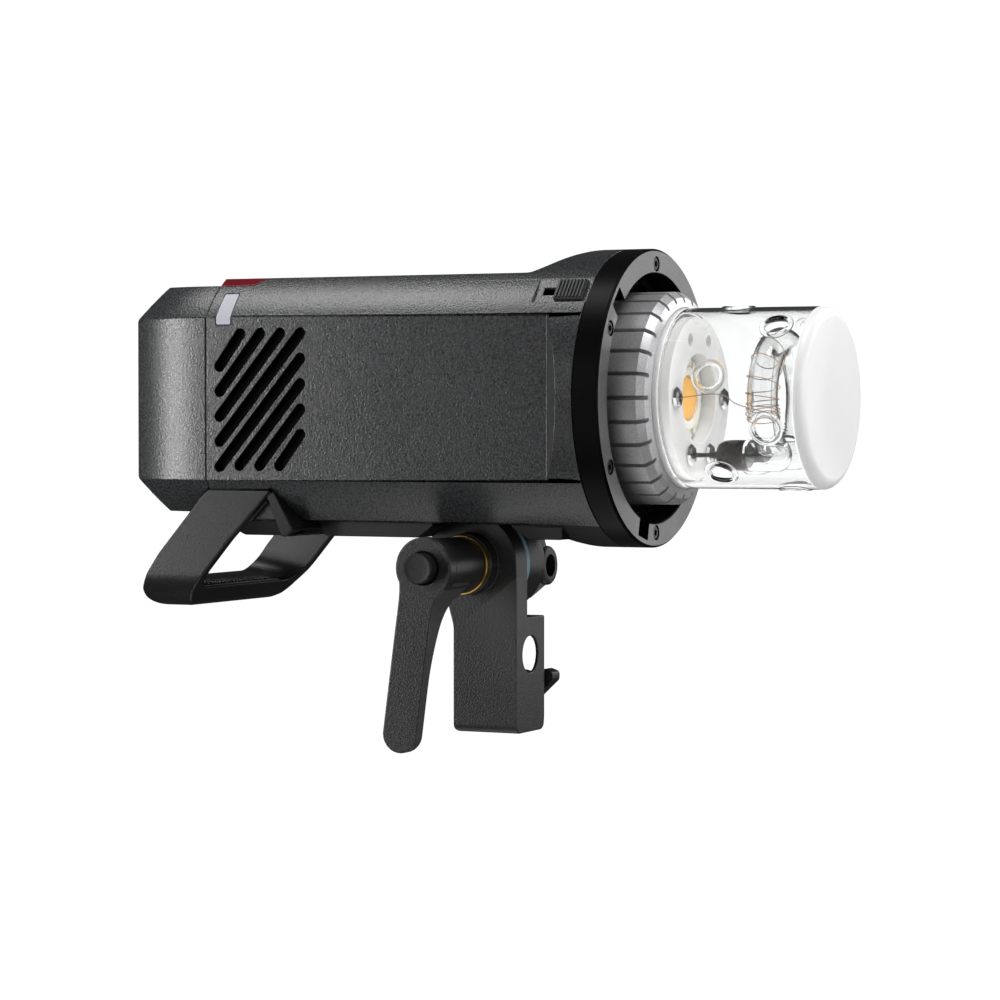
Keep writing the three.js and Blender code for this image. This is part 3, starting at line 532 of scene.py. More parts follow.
def main_shell():
    front = RING_T + GAP
    barrel = rod("y", RING_R, front, SEAM_Y - GAP, steps=256)
    side = [(BODY_FLAT, 240), (BODY_FLAT, PANEL_FRONT_Y), (RING_R, 19.6), (RING_R + 4, 16.5), (FAR, 16.5),
            (FAR, 240)]
    ramp = spline([(48, BODY_FLAT), (44, 54.9), (39, 57.4), (34, 60.6), (29.5, 63.1), (24, 65.1),
                   (18, 66.2)], 5)
    top = [(240, BODY_FLAT), *ramp, (18, FAR), (240, FAR)]
    blocks = [
        prism("z", side, -FAR, FAR),
        prism("z", [(-x, y) for x, y in side], -FAR, FAR),
        prism("x", top, -FAR, FAR),
        prism("x", [(y, -z) for y, z in top], -FAR, FAR),
    ]
    front_rail = rounded([(30, -50), (30, RAIL_Z), (46.5, RAIL_Z), (54.7, -56), (54.7, -50)],
                         [0, 1.5, 2, 2, 0])
    rear_rail = rounded([(92.6, -50), (92.6, -56), (100, RAIL_Z), (147, RAIL_Z), (152, -50)],
                        [0, 2, 2, 2, 0])
    rails = [prism("x", rail, -RAIL_HALF_X, RAIL_HALF_X) for rail in (front_rail, rear_rail)]
    outside = join(cut(barrel, *blocks), *rails)
    hollow = cut(prism("y", section(-WALL, CAVITY_FLAT), front + 6, SEAM_Y + 2),
                 box(15.2, BODY_FLAT - 1, 48.2, 141.8, -36.8, 36.8),
                 rod("x", LOBE_R + 3.6, -20, 44, TILT, 64))
    slots = [prism("x", slot(high, low, VENT_W), -FAR, FAR) for high, low in vent_ends()]
    return cut(
        outside, hollow,
        rod("y", 56, 0, front + 6.2, steps=128),
        box(17, FAR, 50, 140, -35, 35),
        rod("x", LOBE_R + 1.4, -19, 42, TILT, 64),
        box(-19, 45.5, 62, 105, -70, -55 + GAP),
        prism("z", window_outline(GAP), BODY_FLAT - 6, FAR),
        prism("x", indicator_outline(GAP), -FAR, -40),
        prism("x", indicator_outline(GAP), 40, FAR),
        prism("y", [tuple(LOCK_LOW), tuple(LOCK_HIGH), (-44, 56), (-53.2, 43.1)], 10, 37),
        prism("y", [on_facet(5, -6), on_facet(9, -6), on_facet(9, 4), on_facet(5, 4)], 21.5, 33.7),
        *slots)


def shell_paint(face):
    """Grained; painted near-black inside the vent slots and on the rails underneath as painted shade, smooth
    on the strip before each side panel.
    """
    centre, normal = face.center, face.normal
    in_wall = BODY_FLAT - 4 < abs(centre.x) < BODY_FLAT
    # Walls of the vent slots: painted shade in the recess.
    if in_wall and abs(normal.x) < 0.5 and 142 < centre.y < 194 and abs(centre.z) < 33:
        return 2
    # Rails under the body: painted shade.
    if centre.z < -55:
        return 3
    slanted = min(abs(normal.x), abs(normal.y)) > 0.3
    return 1 if slanted and 19 < centre.y < PANEL_FRONT_Y and abs(centre.x) > BODY_FLAT else 0


def lock_slider():
    outline = [on_facet(1.4, GAP), on_facet(13, GAP), on_facet(12.4, 1.5), on_facet(2, 1.5)]
    plate = prism("y", rounded(outline, 0.3), 14, 27.4)
    ribs = []
    for i in range(8):
        y = 14.4 + i * 1.62
        crest = [(y, 1.2), (y + 0.28, 2.25), (y + 0.78, 2.25), (y + 1.06, 1.2)]
        ribs.append(loft([
            [PLACE["y"](*on_facet(along, out), at_y) for at_y, out in crest] for along in (2.2, 12.2)
        ]))
    stem = prism("y", [on_facet(5.4, -5), on_facet(8.6, -5), on_facet(8.6, 1), on_facet(5.4, 1)], 22, 27)
    return join(plate, *ribs, stem)


def skin_piece(tool, low, high):
    """The part of the shell's wall that the tool takes in."""
    skin = cut(prism("y", section(0), low, high), prism("y", section(-WALL), low - 1, high + 1))
    return overlap(skin, tool)


piece("shell", main_shell(), [SHELL, SHELL_SMOOTH, VENT_SHADE, SHADE_BLACK], "head", "main_shell",
      0.35, 2, 24, shell_paint)
piece("mount_lock", lock_slider(), BLACK, "mount_lock", "lock_slider", 0.12, 2)
piece("red_window", skin_piece(prism("z", window_outline(0), BODY_FLAT - 5, FAR), 170, SEAM_Y - GAP), RED,
      "head", "sensor_window", 0.25, 2)
for side, low, high in (("right", -FAR, -40), ("left", 40, FAR)):
    piece(f"indicator_{side}", skin_piece(prism("x", indicator_outline(0), low, high), 178, 194), MILKY,
          "head", f"group_indicator_{side}", 0.2, 2)
# Near-black sheets just behind the vent slots: painted shade inside the body.
for side, low, high in (("right", -51.7, -51.0), ("left", 51.0, 51.7)):
    piece(f"vent_shade_{side}", box(low, high, 143, 194, -34, 34), VENT_SHADE, "head")


# ---- bayonet ring
SCREWS = [polar(0, 0, 58.9, math.radians(angle)) for angle in (30, 90, 150, 210, 270, 330)]


def bayonet_ring():
    ring = turned("y", [
        (RING_OPEN_R, 0.5), (RING_OPEN_R + 0.5, 0), (RING_R - 1.0, 0), (RING_R, 1.0),
        (RING_R, RING_T - 0.3), (RING_R - 0.3, RING_T), (RING_OPEN_R, RING_T), (RING_OPEN_R, 0.5),
    ], steps=240)
    notches = []
    for angle in (16, 136, 256):
        turn = math.radians(angle)
        outline = [(r * math.cos(turn) - w * math.sin(turn), r * math.sin(turn) + w * math.cos(turn))
                   for r, w in rounded(rectangle(50, 62.6, -5.5, 5.5), 0.8, 3)]
        notches.append(prism("y", outline, -1, RING_T + 1))
    sink = [(0, -1), (3.4, -1), (3.4, 0.9), (1.9, 2.9), (1.9, RING_T + 1), (0, RING_T + 1)]
    return cut(ring, *notches, *[turned("y", sink, at, 32) for at in SCREWS])


def ring_paint(face):
    return 1 if face.normal.y < -0.9 and face.center.y < 0.2 else 0


def ring_screw(at):
    body = turned("y", [(0, 0.3), (2.5, 0.3), (3.0, 0.75), (3.0, 1.1), (1.5, 3), (1.5, 16), (0, 16)], at, 32)
    hexagon = arc(*at, 1.55, 30, 330, 5)
    return cut(body, prism("y", hexagon, -1, 1.9))


piece("ring", bayonet_ring(), [RING_RIM, RING_FACE], "head", "bayonet_ring", 0.15, 2,
      paint=ring_paint)
for number, at in enumerate(SCREWS, 1):
    piece(f"screw_{number}", ring_screw(at), SCREW, "head", f"ring_screw_{number}", 0.12, 2)


# ---- flash head and modelling lamp
SOCKETS = [(-27.5, 0), (27.5, 0), (-ELECTRODE_X, ELECTRODE_Z), (ELECTRODE_X, ELECTRODE_Z)]


def heat_sink():
    body = turned("y", [
        (0, SINK_FRONT_Y), (39.8, SINK_FRONT_Y), (39.8, SINK_FRONT_Y - 1.4), (43.9, SINK_FRONT_Y),
        (SINK_R, SINK_FRONT_Y + 3.1), (SINK_R, 17.9), (0, 17.9),
    ], steps=280)
    groove = prism("y", slot((0, 42.5), (0, 52), 1.9), SINK_FRONT_Y - 2, 12)
    return cut(body, *[spun(groove, (i + 7) * 360 / FIN_COUNT) for i in range(FIN_COUNT)])


def ceramic_base():
    inner, outer = LAMP_BASE_R
    disc = turned("y", [
        (inner, BASE_FACE_Y + 0.4), (19.9, BASE_FACE_Y), (34.7, BASE_FACE_Y), (35.3, BASE_FACE_Y + 0.25),
        (outer, BASE_FACE_Y + 0.9), (outer, SINK_FRONT_Y - GAP), (inner, SINK_FRONT_Y - GAP),
        (inner, BASE_FACE_Y + 0.4),
    ], steps=160)
    holes = [rod("y", 3, BASE_FACE_Y - 1, -10, at, 32) for at in SOCKETS]
    dimples = [rod("y", 3, BASE_FACE_Y - 1, BASE_FACE_Y + 3, (x, 25), 32) for x in (-10.5, 10.5)]
    return cut(disc, *holes, *dimples)


def contact_socket(at):
    """Round barrel with a faceted, domed flange in front of the base."""
    flange = loft([
        [PLACE["y"](u, v, BASE_FACE_Y + y) for u, v in arc(*at, r, 0, 315, 7)]
        for r, y in ((2.5, -2.1), (4.0, -1.6), (4.9, -0.6), (4.9, -0.3))
    ])
    barrel = rod("y", 2.6, BASE_FACE_Y - 0.8, BASE_FACE_Y + 6, at, 32)
    return cut(join(flange, barrel), turned("y", [
        (0, BASE_FACE_Y - 3), (1.7, BASE_FACE_Y - 3), (1.4, BASE_FACE_Y - 1.2), (1.4, BASE_FACE_Y + 7),
        (0, BASE_FACE_Y + 7)], at, 24))


def led_board():
    """Board with the raised lamp holder ring and three small screw heads."""
    rear = SINK_FRONT_Y - GAP
    board = turned("y", [(0, -14), (18.4, -14), (LAMP_BOARD_R, -13.6), (LAMP_BOARD_R, rear), (0, rear)])
    holder = turned("y", [(9.9, -14.6), (10.4, -15.8), (13.2, -15.8), (14.2, -14.8), (14.2, -13.4),
                          (9.9, -13.4), (9.9, -14.6)])
    head = [(0, -15), (1.2, -15), (1.6, -14.7), (1.6, -13.5), (0, -13.5)]
    heads = [turned("y", head, polar(0, 0, 16.4, math.radians(turn)), 24) for turn in (-60, 60, 180)]
    return join(board, holder, *heads)


def led_emitter():
    return turned("y", [(0, -15.35), (8.6, -15.3), (9.3, -14.9), (9.5, -14.4), (0, -14.4)])


def ring_path(start, span, steps=90):
    angles = [math.radians(start - span * i / steps) for i in range(steps + 1)]
    return [(TUBE_RING_R * math.cos(t), TUBE_Y, TUBE_RING_R * math.sin(t)) for t in angles]


def bulbs(radius, front, rear):
    """Both bulbs that the electrodes stand in."""
    profile = [(0, front), (radius * 0.45, front + 0.35), (radius * 0.8, front + 1.6),
               (radius, front + 4.2), (radius, rear), (0, rear)]
    return [turned("y", profile, (x, ELECTRODE_Z), 40) for x in (-ELECTRODE_X, ELECTRODE_X)]


def flash_tube():
    """Hollow quartz ring that rises from two electrode bulbs."""
    outer = join(sweep(ring_path(-115, 310), TUBE_R, 32), *bulbs(6.8, -66.5, -47))
    inner = join(sweep(ring_path(-114, 312), TUBE_R - 1.3, 24), *bulbs(5.4, -65.0, -48.2))
    return cut(outer, inner)


def electrode(x):
    return turned("y", [
        (0, -46.7), (6.6, -46.7), (6.6, -40), (6.3, -37), (5.2, -34.6), (3.2, -33.6), (1.8, -33.0),
        (1.3, -31), (1.0, -29), (1.0, -20.9), (0, -20.9),
    ], (x, ELECTRODE_Z), 40)


def trigger_wire():
    """Thin wire from the right-hand socket, wound along that side of the tube's ring."""
    reach = TUBE_R + 0.42
    stations = [  # ring angle in degrees, turns done so far
        (203, 0), (199, 0.9), (194, 2.0), (189.5, 3.1), (184, 4.0), (178, 4.6), (163, 5.6), (150, 6.2),
        (131.4, 7.2), (122, 7.7),
    ]
    helix = []
    for (a0, n0), (a1, n1) in zip(stations, stations[1:]):
        count = max(3, round((n1 - n0) * 22))
        for i in range(count):
            t = i / count
            angle = math.radians(a0 + (a1 - a0) * t)
            phase = 2 * math.pi * (n0 + (n1 - n0) * t) + math.radians(70)
            wobble = 1.03 + 0.03 * math.sin(phase * 1.7)
            radial = TUBE_RING_R + reach * wobble * math.cos(phase + math.pi / 2)
            y = TUBE_Y + reach * wobble * math.sin(phase + math.pi / 2)
            helix.append((radial * math.cos(angle), y, radial * math.sin(angle)))
    lead = spline([(-27.5, -20.9, 0), (-27.6, -28, 0.7), (-27.9, -36, 1.6), (-28, -43, 0.9),
                   (-28.4, -49.5, -3), helix[4]], 8)
    return sweep(lead + helix[5:], 0.2, 8)


VENT_RINGS = [(-39, 20), (-39, 92), (-39, 166.3), (-39, 236), (-39, 308),
              (-64.5, 56), (-64.5, 128), (-64.5, 200), (-64.5, 272), (-64.5, 344)]


def vent_path(y, angle, radius, reach):
    """A ring of points lying on the dome's wall at reach from its axis."""
    points = []
    for turn in turns(32):
        around = math.radians(angle) + radius * math.sin(turn) / reach
        points.append((reach * math.cos(around), y + radius * math.cos(turn), reach * math.sin(around)))
    return points


def dome_wall():
    """Clear wall of the dome with ten bead-rimmed vent holes."""
    inner, front, rear = DOME_R - DOME_WALL, DOME_FRONT_Y + CAP_T, -16.6
    wall = turned("y", [(inner, rear), (DOME_R, rear), (DOME_R, front), (inner, front), (inner, rear)],
                  steps=192)
    holes, beads = [], []
    for y, angle in VENT_RINGS:
        holes.append(spun(rod("x", VENT_RIM["hole"], DOME_R - 6, DOME_R + 6, (y, 0), 40), angle))
        beads.append(sweep(vent_path(y, angle, VENT_RIM["ring"], DOME_R - 0.8), VENT_RIM["bead"], 14, True))
    return join(cut(wall, *holes), *beads)


def dome_cap():
    """Frosted front of the dome with a rounded rim."""
    y, inner = DOME_FRONT_Y, DOME_R - DOME_WALL
    rim = [(DOME_R - 5 + 5 * math.sin(t), y + 5 - 5 * math.cos(t)) for t in
           [math.radians(a) for a in range(0, 91, 10)]]
    inside = [(inner, y + 4.9), (inner - 0.9, y + 3.4), (inner - 2.6, y + 2.5), (0, y + 2.5)]
    return turned("y", [(0, y), *rim, *inside], steps=192)


def dome_collar():
    base = SINK_FRONT_Y - GAP
    return turned("y", [
        (36.9, -16.3), (DOME_R - 0.3, -16.3), (DOME_R, -16.0), (DOME_R, base - 0.4), (DOME_R - 0.4, base),
        (36.9, base), (36.9, -16.3)], steps=192)


piece("sink", heat_sink(), SINK, "head", "heat_sink", 0.3, 2, 24)
piece("lamp_base", ceramic_base(), CERAMIC, "head", "ceramic_base", 0.12, 2)
piece("lamp_board", led_board(), CREAM, "head", "led_board", 0.12, 2)
piece("lamp_emitter", led_emitter(), PHOSPHOR, "head", "led_emitter")
for number, at in enumerate(SOCKETS, 1):
    piece(f"socket_{number}", contact_socket(at), STEEL, "head", f"contact_socket_{number}", 0.1, 2)
piece("quartz_tube", flash_tube(), QUARTZ, "head", "flash_tube", limit=50)
for side, x in (("right", -ELECTRODE_X), ("left", ELECTRODE_X)):
    piece(f"cathode_{side}", electrode(x), ELECTRODE, "head", f"electrode_{side}", limit=50)
piece("ignition_wire", trigger_wire(), WIRE, "head", "trigger_wire", limit=60)
dome = piece("dome_wall", dome_wall(), CLEAR, "dome", "glass_dome", limit=50)
cap = piece("dome_cap", dome_cap(), FROSTED, "dome", "glass_dome", limit=50)
piece("dome_collar", dome_collar(), FROSTED_BAND, "dome", "glass_dome")
for obj in (dome, cap):
    obj.visible_shadow = False


# ---- bracket, clamp lever and knobs
def bracket():
    profile = rounded([
        *arc(*TILT, LOBE_R, -16, 180, 48), (BLOCK_FRONT_Y, TILT[1] - 6), (BLOCK_FRONT_Y, BRACKET_BOTTOM_Z),
        (BLOCK_REAR_Y, BRACKET_BOTTOM_Z), (BLOCK_REAR_Y, TILT[1] - 28), (BLOCK_REAR_Y + 2.6, TILT[1] - 18.5),
    ], [0] * 49 + [3, 0, 2.5, 12, 6], 8)
    low = BRACKET_BOTTOM_Z
    outline = [(BLOCK_X, -40), (-BLOCK_X, -40), (-BLOCK_X, low), (BLOCK_X, low)]
    blank = overlap(prism("x", profile, -BLOCK_X, BLOCK_X),
                    prism("y", rounded(outline, [0, 0, 4.5, 4.5], 10), 40, 120))
    blank = join(blank, rod("x", 13.8, BOSS_X, -BLOCK_X + 1, TILT, 96))
    shelf = prism("x", rectangle(40, 120, -97.5, -40), PLATE_INNER_X, BLOCK_X + 1)
    pocket = box(-9, BLOCK_X + 1, BLOCK_FRONT_Y + 1.5, BLOCK_REAR_Y - 3.5, -123.5, -104.5)
    return cut(blank, shelf, pocket,
               rod("x", BOLT_HOLE_R, BOSS_X - 1, 0, TILT, 32),
               rod("y", SPIGOT_R, BLOCK_FRONT_Y - 1, BLOCK_REAR_Y + 1, (0, CROSS_HOLE_Z), 64),
               rod("z", SPIGOT_R, BRACKET_BOTTOM_Z - 1, BRACKET_BOTTOM_Z + 24, (0, SOCKET_Y), 64),
               rod("x", 3.4, 4, BLOCK_X + 1, (SOCKET_Y, KNOB_Z), 32))


LEVER_FRAME = Matrix.Translation((0, *TILT)) @ Matrix.Rotation(LEVER_ANGLE, 4, "X")


def lever_arm():
    """Lever whose arm thickens in a hollow curve towards the hub, with the button's well."""
    rear_edge = spline([(-10.9, -7.9), (-7.9, -13), (-6.5, -20), (-6.3, -32), (-6.35, -60)], 5)
    front_edge = spline([(10.35, -60), (10.3, -32), (10.2, -20), (10.3, -13), (10.9, -7.9)], 5)
    face = [*arc(0, 0, 13.5, -36, 216, 48), *rear_edge[1:],
            *arc(ARM_SHIFT, -LEVER_LENGTH, 8.4, -176, -4, 24), *front_edge[:-1]]
    outer, inner = LEVER_X - 0.01, LEVER_X + LEVER_T
    hollow = spline([(inner, -60), (inner + 0.4, -46), (-53.4, -34), (-50.2, -24), (-45.6, -16.5),
                     (-39, -11.6)], 6)
    back = [(outer, 16), (outer, -84), (inner, -84), *hollow, (-38, -6), (inner, -6), (inner, 16)]
    arm = overlap(prism("x", face, LEVER_X, -37), prism("y", back, -20, 20))
    end = BRASS_X[0] - GAP
    hub = turned("x", [(0, -61), (12.5, -61), (12.5, end - 0.5), (12, end), (0, end)])
    whole = cut(join(arm, hub), rod("x", BUTTON_R + GAP, LEVER_X - 1, LEVER_X + 12, steps=64),
                rod("x", BOLT_HOLE_R, LEVER_X + 11, 0, steps=32))
    return moved(whole, LEVER_FRAME)


def lever_button():
    x = LEVER_X - LEVER_BUTTON_OUT
    profile = [(0, x + 0.3), (4.4, x + 0.25), (5.5, x + 0.02), (6.2, x), (6.6, x + 0.25),
               (BUTTON_R, x + 0.8), (BUTTON_R, LEVER_X + 3), (0, LEVER_X + 3)]
    return moved(turned("x", profile, steps=64), LEVER_FRAME)


def wing_knob():
    wings = rounded([(-17.9, 7.4), (-17.7, 3.6), (-6.5, -7), (6.5, -7), (17.7, 3.6), (17.9, 7.4),
                     (13.6, 8.8), (6, 6.6), (-6, 6.6), (-13.6, 8.8)],
                    [2.2, 2.6, 4, 4, 2.6, 2.2, 3, 4, 4, 3])
    knob = join(prism("x", wings, BLOCK_X + 4, BLOCK_X + 12),
                rod("x", 7.5, BLOCK_X + GAP, BLOCK_X + 14, steps=48, edge=0.8),
                rod("x", 3, SPIGOT_R + GAP, BLOCK_X + 1, steps=32))
    return moved(knob, Matrix.Translation((0, SOCKET_Y, KNOB_Z)))


def tilt_lug():
    """Clamped disc, foot on the head and the umbrella tube with its rounded lip."""
    x, z = UMBRELLA
    reach = UMBRELLA_TUBE_R
    lip = [(0, 66), (reach - 1.6, 66), (reach - 0.8, 66.25), (reach - 0.2, 66.9), (reach, 67.8),
           (reach, 101), (0, 101)]
    web = [(BLOCK_X + 1, -57), (27, -57), (x, z + reach - 0.4), (x, z - reach + 0.4), (BLOCK_X + 1, -90)]
    solid = join(rod("x", LOBE_R - 0.6, LUG_X[0], BLOCK_X + 2, TILT, 96), turned("y", lip, UMBRELLA, 64),
                 prism("y", web, 68, 101), box(LUG_X[0], BLOCK_X + 2, 68, 101, -70, -50))
    return cut(solid,
               box(-20, 60, 40, 120, -BODY_FLAT - GAP, 0),
               rod("x", BOLT_HOLE_R, -1, 24, TILT, 32), rod("x", 8.2, 20, 26, TILT, 32),
               rod("y", 5.2, 60, 110, UMBRELLA, 48), rod("x", 2.6, 34, 60, (TILT[0], z), 24))


def fluted_knob(radius, low, high, count, at):
    """Small knob with a scalloped rim."""
    outline = []
    for turn in turns(count * 6):
        reach = radius - 0.45 * (1 - math.cos(turn * count)) / 2
        outline.append(polar(*at, reach, turn))
    return prism("x", outline, low, high)


def umbrella_screw():
    start = UMBRELLA[0] + UMBRELLA_TUBE_R + GAP
    at = (TILT[0], UMBRELLA[1])
    return join(rod("x", 2.3, UMBRELLA[0] + 5.6, start + 1, at, 24),
                fluted_knob(6.5, start, start + 9, 10, at))


def tilt_bolt():
    head = prism("x", arc(*TILT, 7, 0, 300, 5), *BOLT_HEAD)
    return join(rod("x", 4, LEVER_X + 18, 21, TILT, 32), head)


def hub_ring():
    low, high = BRASS_X
    return turned("x", [(5.2, low), (12.9, low), (13.2, low + 0.3), (13.2, high - 0.2), (13.0, high),
                        (5.2, high), (5.2, low)], TILT)


def friction_disc():
    low, high = PLATE_INNER_X + GAP, LUG_X[0] - GAP
    reach = LOBE_R - 0.2
    return turned("x", [(4.6, low), (reach, low), (reach, high), (4.6, high), (4.6, low)], TILT)


def lever_paint(face):
    """Grained, but smoother and paler along the arm's front side below the hub; the paler colour is painted
    light.
    """
    return 1 if face.normal.y < -0.6 and face.center.z < TILT[1] - 9 and face.center.x < -38 else 0


piece("bracket_casting", bracket(), CAST, "bracket", "stand_bracket", 0.6, 3, 28)
piece("hub_ring", hub_ring(), BRASS, "bracket", "brass_ring")
piece("friction_disc", friction_disc(), WASHER, "bracket", "friction_washer", 0.2, 2)
piece("clamp_bolt", tilt_bolt(), STEEL, "bracket", "tilt_bolt", 0.3, 2)
piece("clamp_lever", lever_arm(), [CAST, CAST_PAINTED_LIGHT], "lever", "tilt_lever", 0.8, 4, 28,
      lever_paint)
piece("clamp_button", lever_button(), BUTTON, "lever_push", "lever_button")
piece("stand_knob", wing_knob(), BLACK, "stand_lock", "stand_lock_knob", 0.9, 3, 28)
piece("lug", tilt_lug(), CAST, "head", "tilt_lug", 0.8, 3, 28)
piece("umbrella_knob", umbrella_screw(), BLACK, "umbrella_lock", "umbrella_screw",
      0.4, 2, 40)


# ---- rear housing and controls
PANEL_Y = (228.5, 231.5)
PANEL_HALF = (40.5, 41.5)
DIAL = (0, -23)
KEYS = {"menu": (-29, -12), "group": (-29, -29), "lamp": (29, -12), "power": (29, -29), "test": (-17, -36)}
KEY_R = 4.4
LCD_HALF_X = 30
LCD_Z = (-2, 37)
LCD_FLOOR_Y = 230.6


def rear_blank(offset, low, high):
    """Rear housing's outside, whose sides draw in more and more towards the back."""
    rings = [[PLACE["y"](x, z, low) for x, z in section(offset, REAR_FLAT + offset)]]
    for i in range(1, 19):
        y = SEAM_Y + (high - SEAM_Y) * i / 18
        inset = 6 * ((y - SEAM_Y) / (REAR_Y - SEAM_Y)) ** 2.6
        rings.append([PLACE["y"](x, z, y) for x, z in section(offset, REAR_FLAT + offset, inset)])
    return loft(rings)


def rear_housing():
    slope = [(REAR_Y, 35.2), (224.5, 54.9), (250, 54.9), (250, 35.2)]
    half_x, half_z = PANEL_HALF
    hollow = overlap(rear_blank(-2.4, SEAM_Y - 1, PANEL_Y[0] - 1.5),
                     box(-FAR, FAR, 190, PANEL_Y[0] - 1.5, -46.5, 46.5))
    return cut(rear_blank(0, SEAM_Y, REAR_Y),
               prism("x", slope, -FAR, FAR), prism("x", [(y, -z) for y, z in slope], -FAR, FAR), hollow,
               box(-half_x - GAP, half_x + GAP, 220, 240, -half_z - GAP, half_z + GAP),
               box(44, FAR, 203, 221, -26, 4))


def control_panel():
    half_x, half_z = PANEL_HALF
    outline = rounded(rectangle(-half_x, half_x, -half_z, half_z), 1.5)
    holes = [rod("y", KEY_R + GAP, PANEL_Y[0] - 1, PANEL_Y[1] + 1, at, 48) for at in KEYS.values()]
    return cut(prism("y", outline, *PANEL_Y), *holes,
               rod("y", 3.3, PANEL_Y[0] - 1, PANEL_Y[1] + 1, DIAL, 32),
               rod("y", 15.2, PANEL_Y[1] - 0.5, PANEL_Y[1] + 1, DIAL, 96),
               box(-LCD_HALF_X, LCD_HALF_X, LCD_FLOOR_Y, 240, *LCD_Z))


def push_key(at):
    low, high = PANEL_Y
    return turned("y", [
        (0, low - 1.8), (KEY_R + 1.2, low - 1.8), (KEY_R + 1.2, low - GAP), (KEY_R, low - GAP),
        (KEY_R, high + 1.1), (KEY_R - 0.2, high + 1.5), (KEY_R - 0.7, high + 1.8), (1.8, high + 1.55),
        (0, high + 1.5)], at, 48)


def control_dial():
    knurl = [polar(*DIAL, 13.75 if i % 4 in (0, 1) else 13.2, turn) for i, turn in enumerate(turns(120))]
    y = PANEL_Y[1]
    rim = turned("y", [(0, y + GAP), (13.2, y + GAP), (13.2, y + 6.9), (12.4, y + 7.5), (9, y + 7.5),
                       (8, y + 6.6), (0, y + 6.6)], DIAL)
    whole = join(rim, prism("y", knurl, y + 0.9, y + 6.5), rod("y", 3, 222, 233, DIAL, 32))
    return cut(whole, rod("y", 7.3, y + 2.6, 245, DIAL, 64))


def set_button():
    y = PANEL_Y[1]
    return turned("y", [(0, y + 3.8), (7, y + 3.8), (7, y + 7.7), (6.5, y + 8.3), (2, y + 8.0),
                        (0, y + 8.0)], DIAL, 64)


def lcd_window():
    x = LCD_HALF_X - GAP
    outline = rounded(rectangle(-x, x, LCD_Z[0] + GAP, LCD_Z[1] - GAP), 1.2)
    return prism("y", outline, LCD_FLOOR_Y + GAP, PANEL_Y[1] + 0.2)


def port_block():
    """Connector block with two round jacks and a flat connector behind the cover."""
    jacks = [rod("x", 3.2, 45, 52, (212, z), 32) for z in (-19, -8)]
    return cut(box(42.5, 50.5, 204, 220, -25, 3), *jacks, box(45, 52, 207.4, 216.6, -2.6, 0.8))


def port_cover():
    cover = prism("x", rounded(rectangle(203.4, 220.6, -25.6, 3.6), 1.6), 51, FAR)
    return cut(overlap(rear_blank(0, SEAM_Y, REAR_Y), cover), box(BODY_FLAT - 2.4, FAR, 217.5, 222, -14, -8))


def battery_pack():
    """Pack with finger grooves in its outer face."""
    block = box(17.4, BODY_FLAT, 50.4, 139.6, -34.6, 34.6)
    grooves = [box(BODY_FLAT - 1.2, FAR, y, y + 1.6, -22, 22) for y in (60, 64, 68)]
    return cut(block, box(BODY_FLAT - 3, FAR, 126, 142, -14, 14), *grooves)


def battery_latch():
    plate = box(BODY_FLAT - 2.6, BODY_FLAT - 0.8, 127, 135, -13, 13)
    ribs = []
    for y in (127.8, 129.6, 131.4, 133.2):
        outline = [(BODY_FLAT - 1, y), (BODY_FLAT - 1, y + 1.2), (BODY_FLAT, y + 0.9), (BODY_FLAT, y + 0.3)]
        ribs.append(prism("z", rounded(outline, 0.1), -12, 12))
    return join(plate, *ribs)


piece("rear_case", rear_housing(), SHELL, "head", "rear_housing", 0.5, 3, 24)
piece("panel", control_panel(), BLACK, "head", "control_panel", 0.25, 2)
piece("display", lcd_window(), LCD, "head", "lcd_window", 0.2, 2)
piece("dial", control_dial(), BLACK, "dial", "control_dial", 0.15, 2, 40)
piece("dial_button", set_button(), SHELL_SMOOTH, "set_key", "set_button")
for name, at in KEYS.items():
    piece(f"key_{name}", push_key(at), RUBBER, f"{name}_key", f"{name}_button")
piece("ports", port_block(), BLACK, "head", "port_block", 0.3, 2)
piece("port_flap", port_cover(), RUBBER, "port_flap", "port_cover", 0.4, 3)
piece("battery", battery_pack(), CASE, "battery", "battery_pack", 0.5, 3)
piece("battery_catch", battery_latch(), CAST, "battery_release", "battery_latch", 0.12, 2)

# ---- carrying handle
HANDLE_X = 52
ARM = [(196, -39.9), (201.6, -44.7), (207.1, -51.5), (223.1, -69.9), (229.8, -79.6), (233.6, -86.5),
       (233.8, -90.4), (232.2, -92.9), (228, -94.3), (214.6, -94.3), (211.4, -92.5), (207.1, -87),
       (201.3, -80.9), (186.3, -63.5), (163.9, -40.2)]
ARM_CORNERS = [3, 4, 10, 14, 12, 6, 4, 4, 5, 6, 6, 12, 16, 10, 0.5]
HANDLE_BOTTOM_Z = -94.3
HANDLE_CORNER = 18
BAR_TOP = (215, -84.3)
BAR_SLOPE = math.radians(9.5)


def trough(half_x, bottom, corner, top):
    """Outline in (x, z) of a trough with rounded lower corners."""
    return [(half_x, top), (-half_x, top), *arc(-half_x + corner, bottom + corner, corner, 180, 270, 16),
            *arc(half_x - corner, bottom + corner, corner, 270, 360, 16)]


